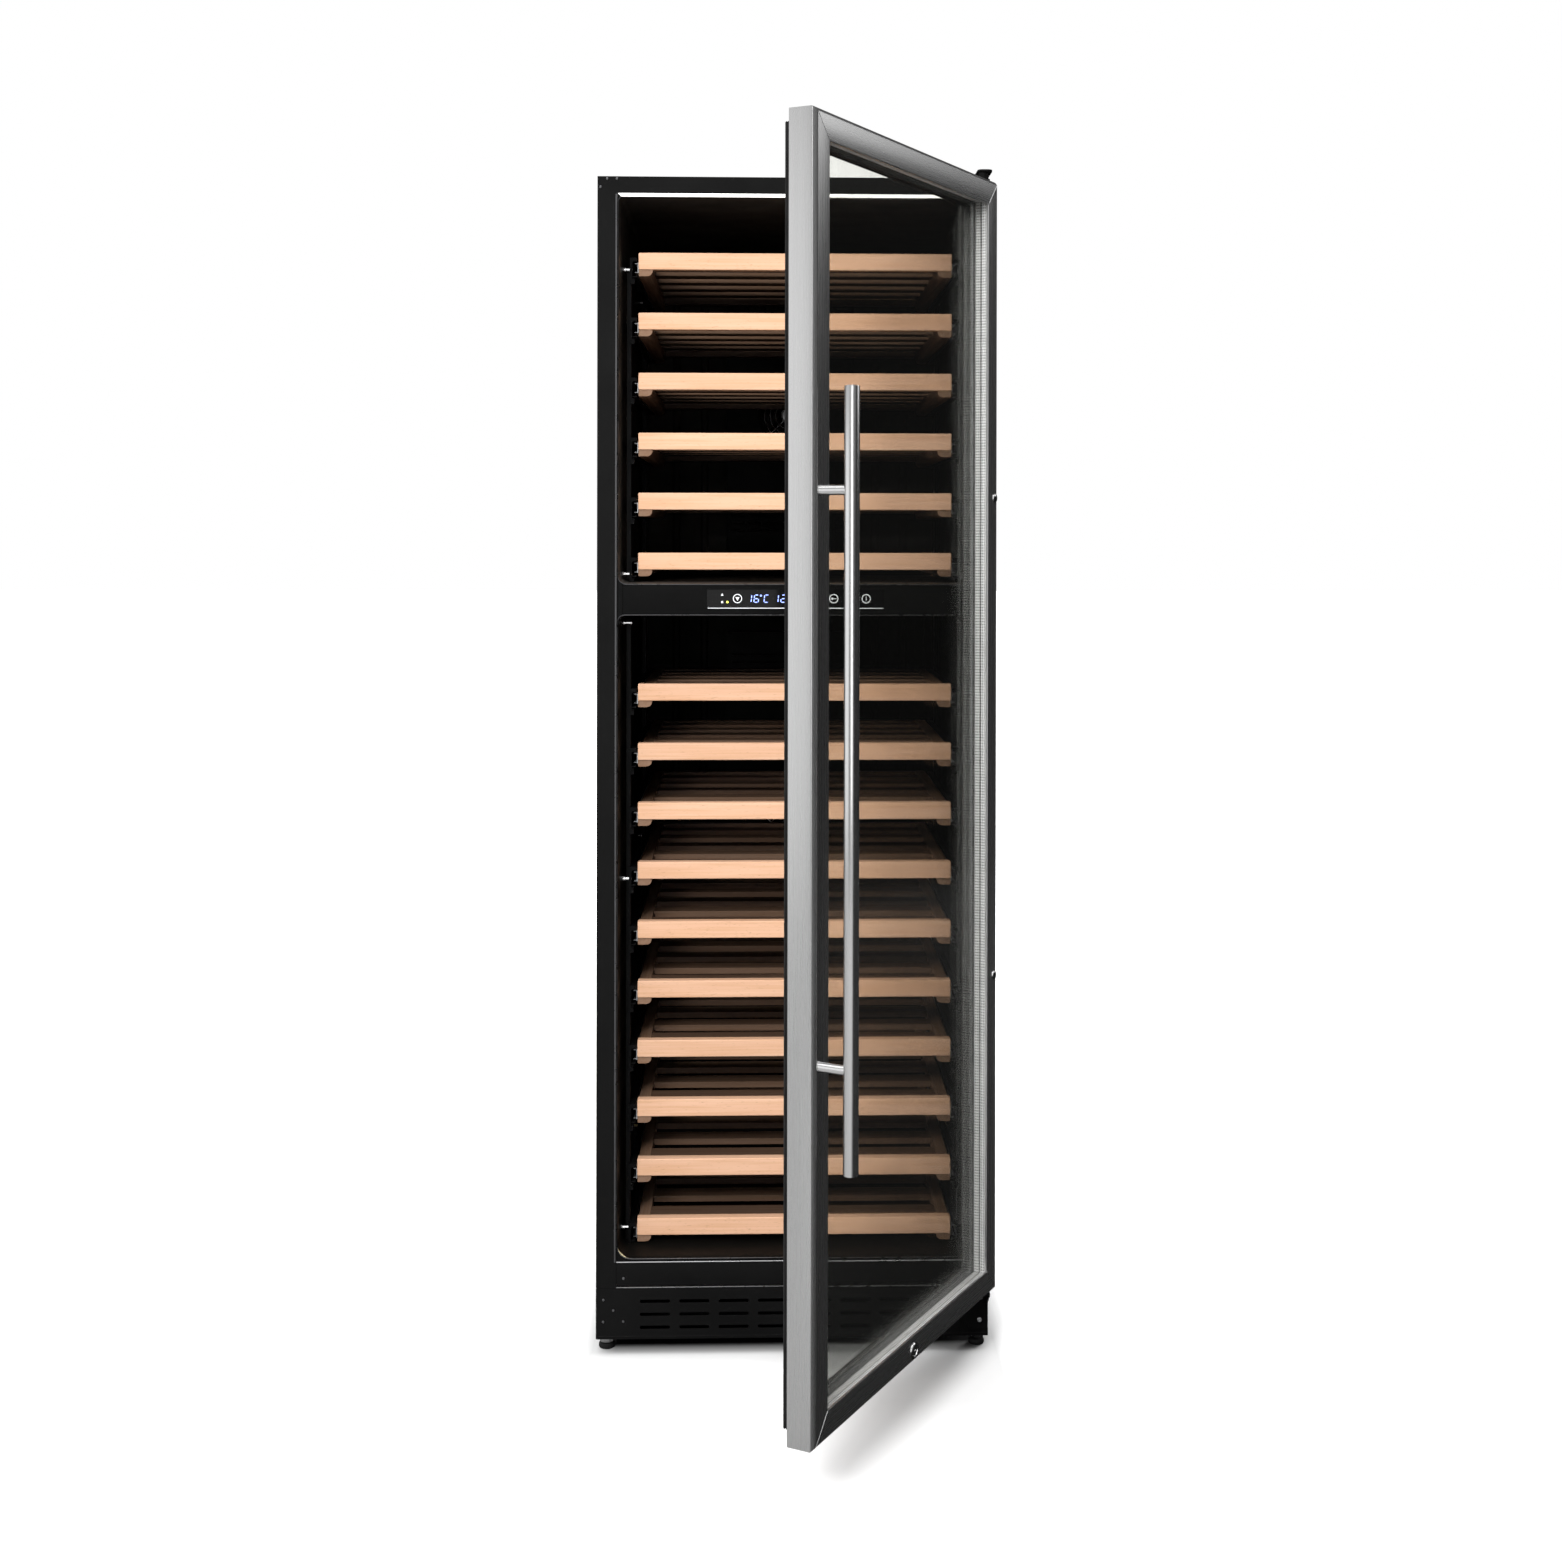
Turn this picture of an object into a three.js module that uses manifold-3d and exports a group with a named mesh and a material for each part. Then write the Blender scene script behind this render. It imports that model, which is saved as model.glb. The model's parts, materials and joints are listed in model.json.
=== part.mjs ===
// A tall two-zone wine cooler with its glass door standing open.
// Millimetres, +Z up. X runs across the front, +X to the hinge side; -Y is the side that faces the user.
// Everything is drawn about the middle of the cabinet's front face at floor level. The whole group is then
// moved so that its origin is the middle of the bottom of its bounding box.
import * as THREE from 'three';
import { mergeVertices } from 'three/addons/utils/BufferGeometryUtils.js';
import Module from 'manifold-3d';

const wasm = await Module();
wasm.setup();

// ---------------------------------------------------------------- driving dimensions
const GAP = 0.3;                 // air left between touching pieces

const CABINET_WIDTH = 590;
const CABINET_TOP = 1770;
const CABINET_DEPTH = 629;
const SHEET = 1.2;               // outer sheet steel
const FOOT_HEIGHT = 25;
const BASE_TOP = 101.4;          // top of the kick plate

const FACE_THICK = 1.5;          // steel face frame and kick plate
const OPENING_HALF = 264.5;
const OPENING_TOP = 1743.5;
const SILL_TOP = 140.5;

const LINER_HALF = 262;          // inside half width of both compartments
const LINER_WALL = 1.8;
const LINER_BACK = 575;
const LINER_CORNER = 22;
const UPPER_FLOOR = 1160;
const UPPER_CEILING = 1739.8;
const LOWER_FLOOR = 147;
const LOWER_CEILING = 1110;
const STEP_FRONT = 380;          // the floor steps up here, over the compressor
const STEP_TOP = 235;
const MACHINE_FRONT = 410;
const MACHINE_CEILING = 205;

const SHELF_HALF = 237;
const SHELF_FRONT = 57;
const SHELF_BACK = 535;
const SHORT_SHELF_BACK = 370;
const RAIL_HEIGHT = 26;
const RAIL_THICK = 18;
const SHELF_HEIGHT = 36;
const SLAT_DROP = 9;             // slat tops below the front rail's top
const SLAT_THICK = 10;
const SLAT_WIDTH = 38;
const SLAT_PITCH = 84;
const FIRST_SLAT = 45;           // from the shelf's front edge
const UPPER_SHELVES = 6;
const UPPER_TOP_SHELF = 1664;
const UPPER_PITCH = 91.8;
const LOWER_SHELVES = 10;
const LOWER_TOP_SHELF = 1004.5;
const LOWER_PITCH = 90.9;

const DOOR_WIDTH = 595;
const DOOR_BOTTOM = 105.5;
const DOOR_TOP = 1760;
const DOOR_THICK = 38;
const DOOR_CLEARANCE = 13;       // closed door's steel to the cabinet's face
const DOOR_OVERHANG = 2.5;       // door edge beyond the cabinet's side
const DOOR_OPEN = 61.08;         // degrees from closed
const PIVOT_X = 281;
const PIVOT_Y = -33;
const FRAME_WIDTH = 38;
const FRAME_LIP = 3.7;           // front lip in front of the glass
const FRAME_WALL = 3;
const FRAME_CHAMFER = 5.5;
const POCKET_EDGE = 24;          // the glass unit's pocket starts this far in from the door's edge
const GLASS_THICK = 4;
const MIDDLE_GLASS_THICK = 3;
const SPACER_DEPTH = 8;
const SPACER_OUTER = 25;
const SPACER_INNER = 33;

const HANDLE_RADIUS = 9.6;
const HANDLE_WALL = 1.5;
const HANDLE_LENGTH = 965;
const HANDLE_STANDOFF = 44;      // door face to the tube's axis
const HANDLE_INSET = 12;         // from the free edge
const POST_RADIUS = 6.35;
const POST_SPACING = 710;

// ---------------------------------------------------------------- finishes
const finish = (color, roughness, metalness) => (
  new THREE.MeshStandardMaterial({ color, roughness, metalness })
);
const FINISHES = {
  blackSteel: () => finish(0x17181a, 0.45, 0.3),
  brushedSteel: () => finish(0xb9b9b9, 0.32, 1.0),
  chrome: () => finish(0xe2e4e6, 0.1, 1.0),
  blackPlastic: () => finish(0x101112, 0.5, 0.0),
  window: () => finish(0x050506, 0.08, 0.0),
  glass: () => finish(0xdfe8e4, 0.03, 0.0),
  beech: () => finish(0xf3c9a4, 0.6, 0.0),
  rubber: () => finish(0x141414, 0.75, 0.0),
  aluminium: () => finish(0xc6c8ca, 0.4, 1.0),
  foam: () => finish(0xe6dcae, 0.9, 0.0),
};

// ---------------------------------------------------------------- building blocks
const group = new THREE.Group();

function box(x0, x1, y0, y1, z0, z1) {
  const geometry = new THREE.BoxGeometry(x1 - x0, y1 - y0, z1 - z0);
  return geometry.translate((x0 + x1) / 2, (y0 + y1) / 2, (z0 + z1) / 2);
}

// A cylinder whose axis runs along 'x', 'y' or 'z' from one coordinate to another.
function rod(axis, from, to, radius, centre, sides = 24) {
  const geometry = new THREE.CylinderGeometry(radius, radius, to - from, sides);
  const middle = (from + to) / 2;
  if (axis === 'x') return geometry.rotateZ(Math.PI / 2).translate(middle, centre[0], centre[1]);
  if (axis === 'y') return geometry.translate(centre[0], middle, centre[1]);
  return geometry.rotateX(Math.PI / 2).translate(centre[0], centre[1], middle);
}

// A turned piece standing on the z axis, from a profile of [radius, height] pairs.
function turned(profile, sides = 24) {
  const points = profile.map(([radius, height]) => new THREE.Vector2(radius, height));
  return new THREE.LatheGeometry(points, sides).rotateX(Math.PI / 2);
}

function solid(geometry) {
  const bare = geometry.clone();
  bare.deleteAttribute('normal');
  bare.deleteAttribute('uv');
  const merged = mergeVertices(bare, 1e-3);
  const vertProperties = new Float32Array(merged.attributes.position.array);
  const triVerts = new Uint32Array(merged.index.array);
  return new wasm.Manifold(new wasm.Mesh({ numProp: 3, vertProperties, triVerts }));
}

function geometryOf(manifold) {
  const mesh = manifold.getMesh();
  const geometry = new THREE.BufferGeometry();
  geometry.setAttribute('position', new THREE.BufferAttribute(mesh.vertProperties, 3));
  geometry.setIndex(new THREE.BufferAttribute(mesh.triVerts, 1));
  geometry.computeVertexNormals();
  return geometry;
}

const joined = (pieces) => pieces.map(solid).reduce((sum, piece) => sum.add(piece));

function carved(bodies, cuts) {
  return geometryOf(joined(bodies).subtract(joined(cuts)));
}

function place(name, geometry, material, parent = group) {
  const mesh = new THREE.Mesh(geometry, material);
  mesh.name = name;
  parent.add(mesh);
  return mesh;
}

// ---------------------------------------------------------------- cabinet shell
const HALF = CABINET_WIDTH / 2;
const SKIN_FRONT = FACE_THICK + GAP;
const INNER_HALF = HALF - SHEET;

function addCasing() {
  const shell = box(-HALF, HALF, SKIN_FRONT, CABINET_DEPTH, FOOT_HEIGHT, CABINET_TOP);
  const hollow = box(-INNER_HALF, INNER_HALF, 0, CABINET_DEPTH + 1, 0, CABINET_TOP - SHEET);
  place('outer_shell', carved([shell], [hollow]), FINISHES.blackSteel());

  const face = box(-HALF, HALF, 0, FACE_THICK, BASE_TOP + GAP, CABINET_TOP);
  const opening = box(-OPENING_HALF, OPENING_HALF, -1, FACE_THICK + 1, SILL_TOP, OPENING_TOP);
  place('front_frame', carved([face], [opening]), FINISHES.blackSteel());

  const backFront = CABINET_DEPTH - SHEET - GAP;
  const panelHalf = INNER_HALF - GAP;
  const panelTop = CABINET_TOP - SHEET - GAP;
  const back = box(-panelHalf, panelHalf, backFront, backFront + SHEET, FOOT_HEIGHT + 3, panelTop);
  const vent = { columns: 7, pitch: 68, width: 50, rows: 4, lowest: 68, rowPitch: 34, height: 8 };
  const slots = [];
  for (let column = 0; column < vent.columns; column += 1) {
    const x = (column - (vent.columns - 1) / 2) * vent.pitch;
    for (let row = 0; row < vent.rows; row += 1) {
      const z = vent.lowest + row * vent.rowPitch;
      slots.push(box(x - vent.width / 2, x + vent.width / 2, backFront - 1, CABINET_DEPTH,
        z - vent.height / 2, z + vent.height / 2));
    }
  }
  place('back_panel', carved([back], slots), FINISHES.blackSteel());
}

function addKickPlate() {
  const columns = 8;
  const slotPitch = 59;
  const slotWidth = 45;
  const slotHeight = 5;
  const rowPitch = 19.5;
  const middleRow = 62;
  const plate = box(-HALF, HALF, 0, FACE_THICK, FOOT_HEIGHT, BASE_TOP);
  const slots = [];
  for (let column = 0; column < columns; column += 1) {
    const x = (column - (columns - 1) / 2) * slotPitch;
    for (const row of [-1, 0, 1]) {
      const z = middleRow + row * rowPitch;
      slots.push(box(x - slotWidth / 2, x + slotWidth / 2, -1, FACE_THICK + 1,
        z - slotHeight / 2, z + slotHeight / 2));
    }
  }
  place('kick_plate', carved([plate], slots), FINISHES.blackSteel());
}

// ---------------------------------------------------------------- base and feet
const FOOT_X = 281;
const FOOT_FRONT_Y = 35;
const FOOT_REAR_Y = 590;
const STEM_RADIUS = 4;
const STEM_TOP = 44;
const PAD_RADIUS = 12;
const PAD_TOP = 8;
const COLLAR_RADIUS = 9;
const COLLAR_TOP = 21;
const BASE_SHEET = 2;
const BASE_RIM = 103.7;

const footPlaces = [];
for (const [row, y] of [['front', FOOT_FRONT_Y], ['rear', FOOT_REAR_Y]]) {
  footPlaces.push({ name: `foot_${row}_left`, x: -FOOT_X, y });
  footPlaces.push({ name: `foot_${row}_right`, x: FOOT_X, y });
}

function addBase() {
  const half = INNER_HALF - GAP;
  const front = SKIN_FRONT + GAP;
  const back = CABINET_DEPTH - 3;
  const tray = box(-half, half, front, back, FOOT_HEIGHT, BASE_RIM);
  const inside = box(-half + BASE_SHEET, half - BASE_SHEET, front + BASE_SHEET, back - BASE_SHEET,
    FOOT_HEIGHT + BASE_SHEET, BASE_RIM + 1);
  const holes = footPlaces.map(({ x, y }) => rod('z', 0, STEM_TOP, STEM_RADIUS + GAP, [x, y], 16));
  place('base_pan', carved([tray], [inside, ...holes]), FINISHES.blackSteel());

  const profile = [
    [0, 0], [PAD_RADIUS, 0], [PAD_RADIUS, PAD_TOP], [COLLAR_RADIUS, PAD_TOP + 2],
    [COLLAR_RADIUS, COLLAR_TOP], [STEM_RADIUS, COLLAR_TOP], [STEM_RADIUS, STEM_TOP], [0, STEM_TOP],
  ];
  for (const { name, x, y } of footPlaces) {
    place(name, turned(profile, 14), FINISHES.blackPlastic()).position.set(x, y, 0);
  }
}

// ---------------------------------------------------------------- insulation and liners
// The compartment's space, grown on every side but the front by `grow`.
function upperSpace(grow, front) {
  const half = LINER_HALF + grow;
  return [box(-half, half, front, LINER_BACK + grow, UPPER_FLOOR - grow, UPPER_CEILING + grow)];
}

function lowerSpace(grow, front) {
  const half = LINER_HALF + grow;
  const bottom = LOWER_FLOOR - grow;
  const top = LOWER_CEILING + grow;
  const radius = LINER_CORNER + grow;
  const outline = new THREE.Shape();
  outline.moveTo(-half, top);
  outline.lineTo(-half, bottom + radius);
  outline.absarc(-half + radius, bottom + radius, radius, Math.PI, 1.5 * Math.PI);
  outline.absarc(half - radius, bottom + radius, radius, -0.5 * Math.PI, 0);
  outline.lineTo(half, top);
  const depth = STEP_FRONT + grow - front;
  const low = new THREE.ExtrudeGeometry(outline, { depth, bevelEnabled: false, curveSegments: 4 });
  low.rotateX(Math.PI / 2).translate(0, front + depth, 0);
  return [low, box(-half, half, front, LINER_BACK + grow, STEP_TOP - grow, top)];
}

const BAR_BOTTOM = LOWER_CEILING + LINER_WALL + GAP;
const BAR_TOP = UPPER_FLOOR - LINER_WALL - GAP;
const BAR_BACK = 32;
const BAR_HALF = 257;
const BAR_SHOULDER_HALF = 263.5;

function addLining() {
  const half = INNER_HALF - GAP;
  const back = CABINET_DEPTH - SHEET - 2 * GAP;
  const block = box(-half, half, SKIN_FRONT, back, BASE_RIM + GAP, CABINET_TOP - SHEET - GAP);
  const clearance = LINER_WALL + GAP;
  const machineRoom = box(-half - 1, half + 1, MACHINE_FRONT, back + 1, 100, MACHINE_CEILING);
  const barSpace = box(-BAR_SHOULDER_HALF - GAP, BAR_SHOULDER_HALF + GAP, 0, BAR_BACK + GAP,
    BAR_BOTTOM - 1, BAR_TOP + 1);
  const hollows = [...upperSpace(clearance, 0), ...lowerSpace(clearance, 0), machineRoom, barSpace];
  place('insulation', carved([block], hollows), FINISHES.foam());

  place('upper_liner', carved(upperSpace(LINER_WALL, SKIN_FRONT), upperSpace(0, 0)), FINISHES.blackPlastic());
  place('lower_liner', carved(lowerSpace(LINER_WALL, SKIN_FRONT), lowerSpace(0, 0)), FINISHES.blackPlastic());
}

// ---------------------------------------------------------------- control bar between the compartments
const WINDOW_HALF = 131;
const WINDOW_BOTTOM = 1121;
const WINDOW_TOP = 1151;

function addControls() {
  const front = 3;
  const pocketBack = 9;
  const nose = box(-BAR_HALF, BAR_HALF, front, 12, BAR_BOTTOM, BAR_TOP);
  const shoulders = box(-BAR_SHOULDER_HALF, BAR_SHOULDER_HALF, 6, BAR_BACK, BAR_BOTTOM, BAR_TOP);
  const pocket = box(-WINDOW_HALF - GAP, WINDOW_HALF + GAP, 0, pocketBack,
    WINDOW_BOTTOM - GAP, WINDOW_TOP + GAP);
  place('control_bar', carved([nose, shoulders], [pocket]), FINISHES.blackPlastic());
  const pane = box(-WINDOW_HALF, WINDOW_HALF, front - 0.6, pocketBack - GAP, WINDOW_BOTTOM, WINDOW_TOP);
  place('display_window', pane, FINISHES.window());
}

// ---------------------------------------------------------------- shelves and their racks
const levels = (count, top, pitch) => Array.from({ length: count }, (_, index) => top - index * pitch);
const UPPER_LEVELS = levels(UPPER_SHELVES, UPPER_TOP_SHELF, UPPER_PITCH);
const LOWER_LEVELS = levels(LOWER_SHELVES, LOWER_TOP_SHELF, LOWER_PITCH);
const isShort = (top) => top - SHELF_HEIGHT < STEP_TOP;

// A shelf drawn with its front rail's top edge at z = 0.
function shelfGeometry(back) {
  const railInner = SHELF_HALF - RAIL_THICK;
  const pieces = [
    box(-SHELF_HALF, SHELF_HALF, SHELF_FRONT, SHELF_FRONT + RAIL_THICK, -RAIL_HEIGHT, 0),
    box(-SHELF_HALF, SHELF_HALF, back - RAIL_THICK, back, -RAIL_HEIGHT, -SLAT_DROP),
  ];
  for (const side of [-1, 1]) {
    const [left, right] = [side * railInner, side * SHELF_HALF].sort((a, b) => a - b);
    pieces.push(box(left, right, SHELF_FRONT + 3, back, -SHELF_HEIGHT, -SLAT_DROP));
  }
  for (let y = SHELF_FRONT + FIRST_SLAT; y + SLAT_WIDTH < back - RAIL_THICK; y += SLAT_PITCH) {
    pieces.push(box(-railInner - 1, railInner + 1, y, y + SLAT_WIDTH, -SLAT_DROP - SLAT_THICK, -SLAT_DROP));
  }
  return geometryOf(joined(pieces));
}

function addShelves() {
  const sets = [['upper', UPPER_LEVELS], ['lower', LOWER_LEVELS]];
  for (const [zone, tops] of sets) {
    tops.forEach((top, index) => {
      const back = isShort(top) ? SHORT_SHELF_BACK : SHELF_BACK;
      const name = `shelf_${zone}_${String(index + 1).padStart(2, '0')}`;
      place(name, shelfGeometry(back), FINISHES.beech()).position.z = top;
    });
  }
}

// Two uprights, one runner channel for each shelf, and standoffs that reach the liner's wall.
function rackGeometry(side, tops, bottom, top, standoffs) {
  const wall = LINER_HALF - GAP;
  const upright = { outer: 252, inner: 248, width: 24, frontY: 66, rearY: 480 };
  const channel = { inner: 240, front: 62, back: 525, height: 28, drop: 9 };
  const slab = (inner, outer, y0, y1, z0, z1) => (
    side < 0 ? box(-outer, -inner, y0, y1, z0, z1) : box(inner, outer, y0, y1, z0, z1)
  );
  const peg = { radius: 5, sides: 12 };
  const overlap = 0.5;           // how far welded pieces reach into each other
  const rearBottom = Math.max(bottom, STEP_TOP + 10);
  const { outer, inner, width, frontY, rearY } = upright;
  const pieces = [
    slab(inner, outer, frontY, frontY + width, bottom, top),
    slab(inner, outer, rearY, rearY + width, rearBottom, top),
  ];
  for (const level of tops) {
    const back = isShort(level) ? SHORT_SHELF_BACK - 10 : channel.back;
    const z = level - channel.drop;
    pieces.push(slab(channel.inner, inner + overlap, channel.front, back, z - channel.height, z));
  }
  for (const z of standoffs) {
    for (const y of [frontY + width / 2, rearY + width / 2]) {
      if (y > STEP_FRONT && z < rearBottom) continue;
      const [from, to] = [side * (outer - overlap), side * wall].sort((a, b) => a - b);
      pieces.push(rod('x', from, to, peg.radius, [y, z], peg.sides));
    }
  }
  return geometryOf(joined(pieces));
}

// The heights of each rack's shelves, of its ends and of its standoffs.
const UPPER_RACK = { levels: UPPER_LEVELS, bottom: 1164, top: 1674, standoffs: [1638, 1172] };
const LOWER_RACK = { levels: LOWER_LEVELS, bottom: 155, top: 1106, standoffs: [1098, 706, 172] };

function addRacks() {
  for (const [side, name] of [[-1, 'left'], [1, 'right']]) {
    for (const [zone, { levels, bottom, top, standoffs }] of [['upper', UPPER_RACK], ['lower', LOWER_RACK]]) {
      const geometry = rackGeometry(side, levels, bottom, top, standoffs);
      place(`rack_${zone}_${name}`, geometry, FINISHES.blackSteel());
    }
  }
}

// ---------------------------------------------------------------- fans and air ducts
// A bladed rotor on the z axis, its hub from z = 0 to `depth`.
function rotorGeometry(radius, depth) {
  const hubRadius = radius * 0.36;
  const blades = 7;
  const bladeThick = 2;
  const bladePitch = THREE.MathUtils.degToRad(40);
  const chord = depth * 0.96;
  const pieces = [rod('z', 0, depth, hubRadius, [0, 0], 20)];
  for (let index = 0; index < blades; index += 1) {
    const blade = box(hubRadius - 2, radius, -bladeThick / 2, bladeThick / 2, -chord / 2, chord / 2);
    blade.rotateX(bladePitch).translate(0, 0, depth / 2).rotateZ((index * 2 * Math.PI) / blades);
    pieces.push(blade);
  }
  return geometryOf(joined(pieces));
}

const DUCT_HALF = 110;
const DUCT_FRONT = 545;
const RECESS_BACK = 569;         // back of the round recess that holds the fan
const FAN_SETBACK = 2;           // the rotor starts this far behind the duct's front
const FAN_RADIUS = 46;
const FAN_DEPTH = 18;
const FAN_CLEARANCE = 6;
const STUB_RADIUS = 8;
const UPPER_DUCT = { bottom: 1200, top: 1690, fanZ: 1445 };
const LOWER_DUCT = { bottom: 320, top: 1060, fanZ: 690 };

function addDuct(zone, { bottom, top, fanZ }) {
  const rotorFront = DUCT_FRONT + FAN_SETBACK;
  const back = LINER_BACK - GAP;
  const cover = carved([box(-DUCT_HALF, DUCT_HALF, DUCT_FRONT, back, bottom, top)],
    [rod('y', DUCT_FRONT - 1, RECESS_BACK, FAN_RADIUS + FAN_CLEARANCE, [0, fanZ], 32)]);
  const stub = rod('y', rotorFront + FAN_DEPTH + GAP, RECESS_BACK + 1, STUB_RADIUS, [0, fanZ], 16);
  place(`${zone}_air_duct`, geometryOf(joined([cover, stub])), FINISHES.blackPlastic());

  const rotor = place(`${zone}_fan_rotor`, rotorGeometry(FAN_RADIUS, FAN_DEPTH), FINISHES.blackPlastic());
  rotor.rotation.x = -Math.PI / 2;
  rotor.position.set(0, rotorFront, fanZ);
}

// ---------------------------------------------------------------- compressor compartment
const MACHINE_FLOOR = FOOT_HEIGHT + BASE_SHEET + GAP;
const MACHINE_MIDDLE_Y = 515;
const COMPRESSOR_X = 130;
const CONDENSER = { left: -226, right: -98, front: 455, back: 575, top: 172 };
const CONDENSER_TUBES = { overhang: [14, 6], radius: 5, rows: [-35, 0, 35], heights: [70, 130] };
const CONDENSER_FAN = { x: -50, z: 110, radius: 50, depth: 16, frameHalf: 62 };

function addCompressor() {
  const footPlate = { halfX: 80, halfY: 56, bottom: 5, top: 10 };
  const mount = { x: 66, y: 42, radius: 9, height: 6 };
  const profile = [
    [0, 8], [50, 8], [60, 18], [60, 78], [66, 78], [66, 84], [60, 84],
    [58, 118], [44, 142], [22, 152], [0, 154],
  ];
  const vessel = turned(profile, 18);
  const { halfX, halfY, bottom, top } = footPlate;
  const plate = box(-halfX, halfX, -halfY, halfY, bottom, top);
  const mounts = [-mount.x, mount.x].flatMap((x) => (
    [-mount.y, mount.y].map((y) => rod('z', 0, mount.height, mount.radius, [x, y], 8))
  ));
  const assembly = geometryOf(joined([vessel, plate, ...mounts]));
  const compressor = place('compressor', assembly, FINISHES.blackSteel());
  compressor.position.set(COMPRESSOR_X, MACHINE_MIDDLE_Y, MACHINE_FLOOR);
}

function addCondenser() {
  const { left, right, front, back, top } = CONDENSER;
  const { overhang, radius: tubeRadius, rows, heights } = CONDENSER_TUBES;
  const core = [box(left, right, front, back, MACHINE_FLOOR, top)];
  for (const row of rows) {
    for (const height of heights) {
      const centre = [MACHINE_MIDDLE_Y + row, height];
      core.push(rod('x', left - overhang[0], right + overhang[1], tubeRadius, centre, 10));
    }
  }
  place('condenser', geometryOf(joined(core)), FINISHES.aluminium());
}

function addCondenserFan() {
  const { x, z, radius, depth, frameHalf } = CONDENSER_FAN;
  const y = MACHINE_MIDDLE_Y;
  const strut = { thick: 4, half: 9 };
  const stubRadius = 12;
  const frontX = x - 4;
  const backX = x + depth + 10;
  const hubFace = x + depth + GAP;
  const ring = carved([box(frontX, backX, y - frameHalf, y + frameHalf, MACHINE_FLOOR, z + frameHalf)],
    [rod('x', frontX - 1, backX + 1, radius + 5, [y, z], 32)]);
  const reach = frameHalf - 2;
  const arm = box(backX - strut.thick, backX, y - strut.half, y + strut.half, z - reach, z + reach);
  const stub = rod('x', hubFace, backX - 1, stubRadius, [y, z], 16);
  place('condenser_fan_frame', geometryOf(joined([ring, arm, stub])), FINISHES.blackPlastic());

  const rotor = place('condenser_fan_rotor', rotorGeometry(radius, depth), FINISHES.blackPlastic());
  rotor.rotation.y = Math.PI / 2;
  rotor.position.set(x, y, z);
}

const INLET_X = -262;
const INLET_Z = 60;

function addPowerInlet() {
  const gland = turned([[0, 0], [13, 0], [13, 3], [9, 4], [7, 10], [0, 10]], 14).rotateX(-Math.PI / 2);
  const face = CABINET_DEPTH - GAP + 0.2;
  place('power_inlet', gland, FINISHES.blackPlastic()).position.set(INLET_X, face, INLET_Z);
}

// ---------------------------------------------------------------- hinges
const PIN_RADIUS = 4;
const PIN_DEPTH = 9;             // how far each hinge pin enters the door
const HUB_RADIUS = 7;
const HINGE_PLATE = 3;
const HINGE_INNER = PIVOT_X - 9;
const HINGE_OUTER = PIVOT_X + 13;
const HINGE_NOSE = PIVOT_Y - 12;
const TOP_HINGE = { width: 70, front: 6, back: 62 };
const BOTTOM_HINGE = { width: 50, bottom: 36, shelf: 99, shelfInner: HINGE_INNER - 10 };

function addHinges() {
  const plate = HINGE_PLATE;
  const floor = CABINET_TOP + GAP;
  const { width, front, back } = TOP_HINGE;
  const pivot = [PIVOT_X, PIVOT_Y];
  const top = joined([
    box(HINGE_OUTER - width, HINGE_OUTER, front, back, floor, floor + plate),
    box(HINGE_INNER, HINGE_OUTER, HINGE_NOSE, back, floor + plate, floor + 2 * plate),
    rod('z', DOOR_TOP + GAP, floor + plate + 1, HUB_RADIUS, pivot, 20),
    rod('z', DOOR_TOP - PIN_DEPTH, DOOR_TOP + 1, PIN_RADIUS, pivot, 16),
  ]);
  place('top_hinge', geometryOf(top), FINISHES.blackSteel());

  const { shelf, shelfInner } = BOTTOM_HINGE;
  const bottom = joined([
    box(HINGE_OUTER - BOTTOM_HINGE.width, HINGE_OUTER, -plate - GAP, -GAP, BOTTOM_HINGE.bottom,
      shelf + plate),
    box(shelfInner, HINGE_OUTER, HINGE_NOSE, -GAP, shelf, shelf + plate),
    rod('z', shelf + 1, DOOR_BOTTOM - GAP, HUB_RADIUS, pivot, 20),
    rod('z', DOOR_BOTTOM - 1, DOOR_BOTTOM + PIN_DEPTH, PIN_RADIUS, pivot, 16),
  ]);
  place('bottom_hinge', geometryOf(bottom), FINISHES.blackSteel());
}

// ---------------------------------------------------------------- door
// Inside the leaf group x runs from the hinge edge to the free edge, y from the steel frame's inner face
// outwards, and z is height.
const swing = new THREE.Group();
swing.position.set(PIVOT_X, PIVOT_Y, 0);
swing.rotation.z = THREE.MathUtils.degToRad(DOOR_OPEN);
group.add(swing);

const EDGE_TO_PIVOT = HALF + DOOR_OVERHANG - PIVOT_X;
const FACE_TO_PIVOT = -DOOR_CLEARANCE - PIVOT_Y;
const leaf = new THREE.Group();
leaf.position.set(EDGE_TO_PIVOT, FACE_TO_PIVOT, 0);
leaf.rotation.z = Math.PI;
swing.add(leaf);

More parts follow.
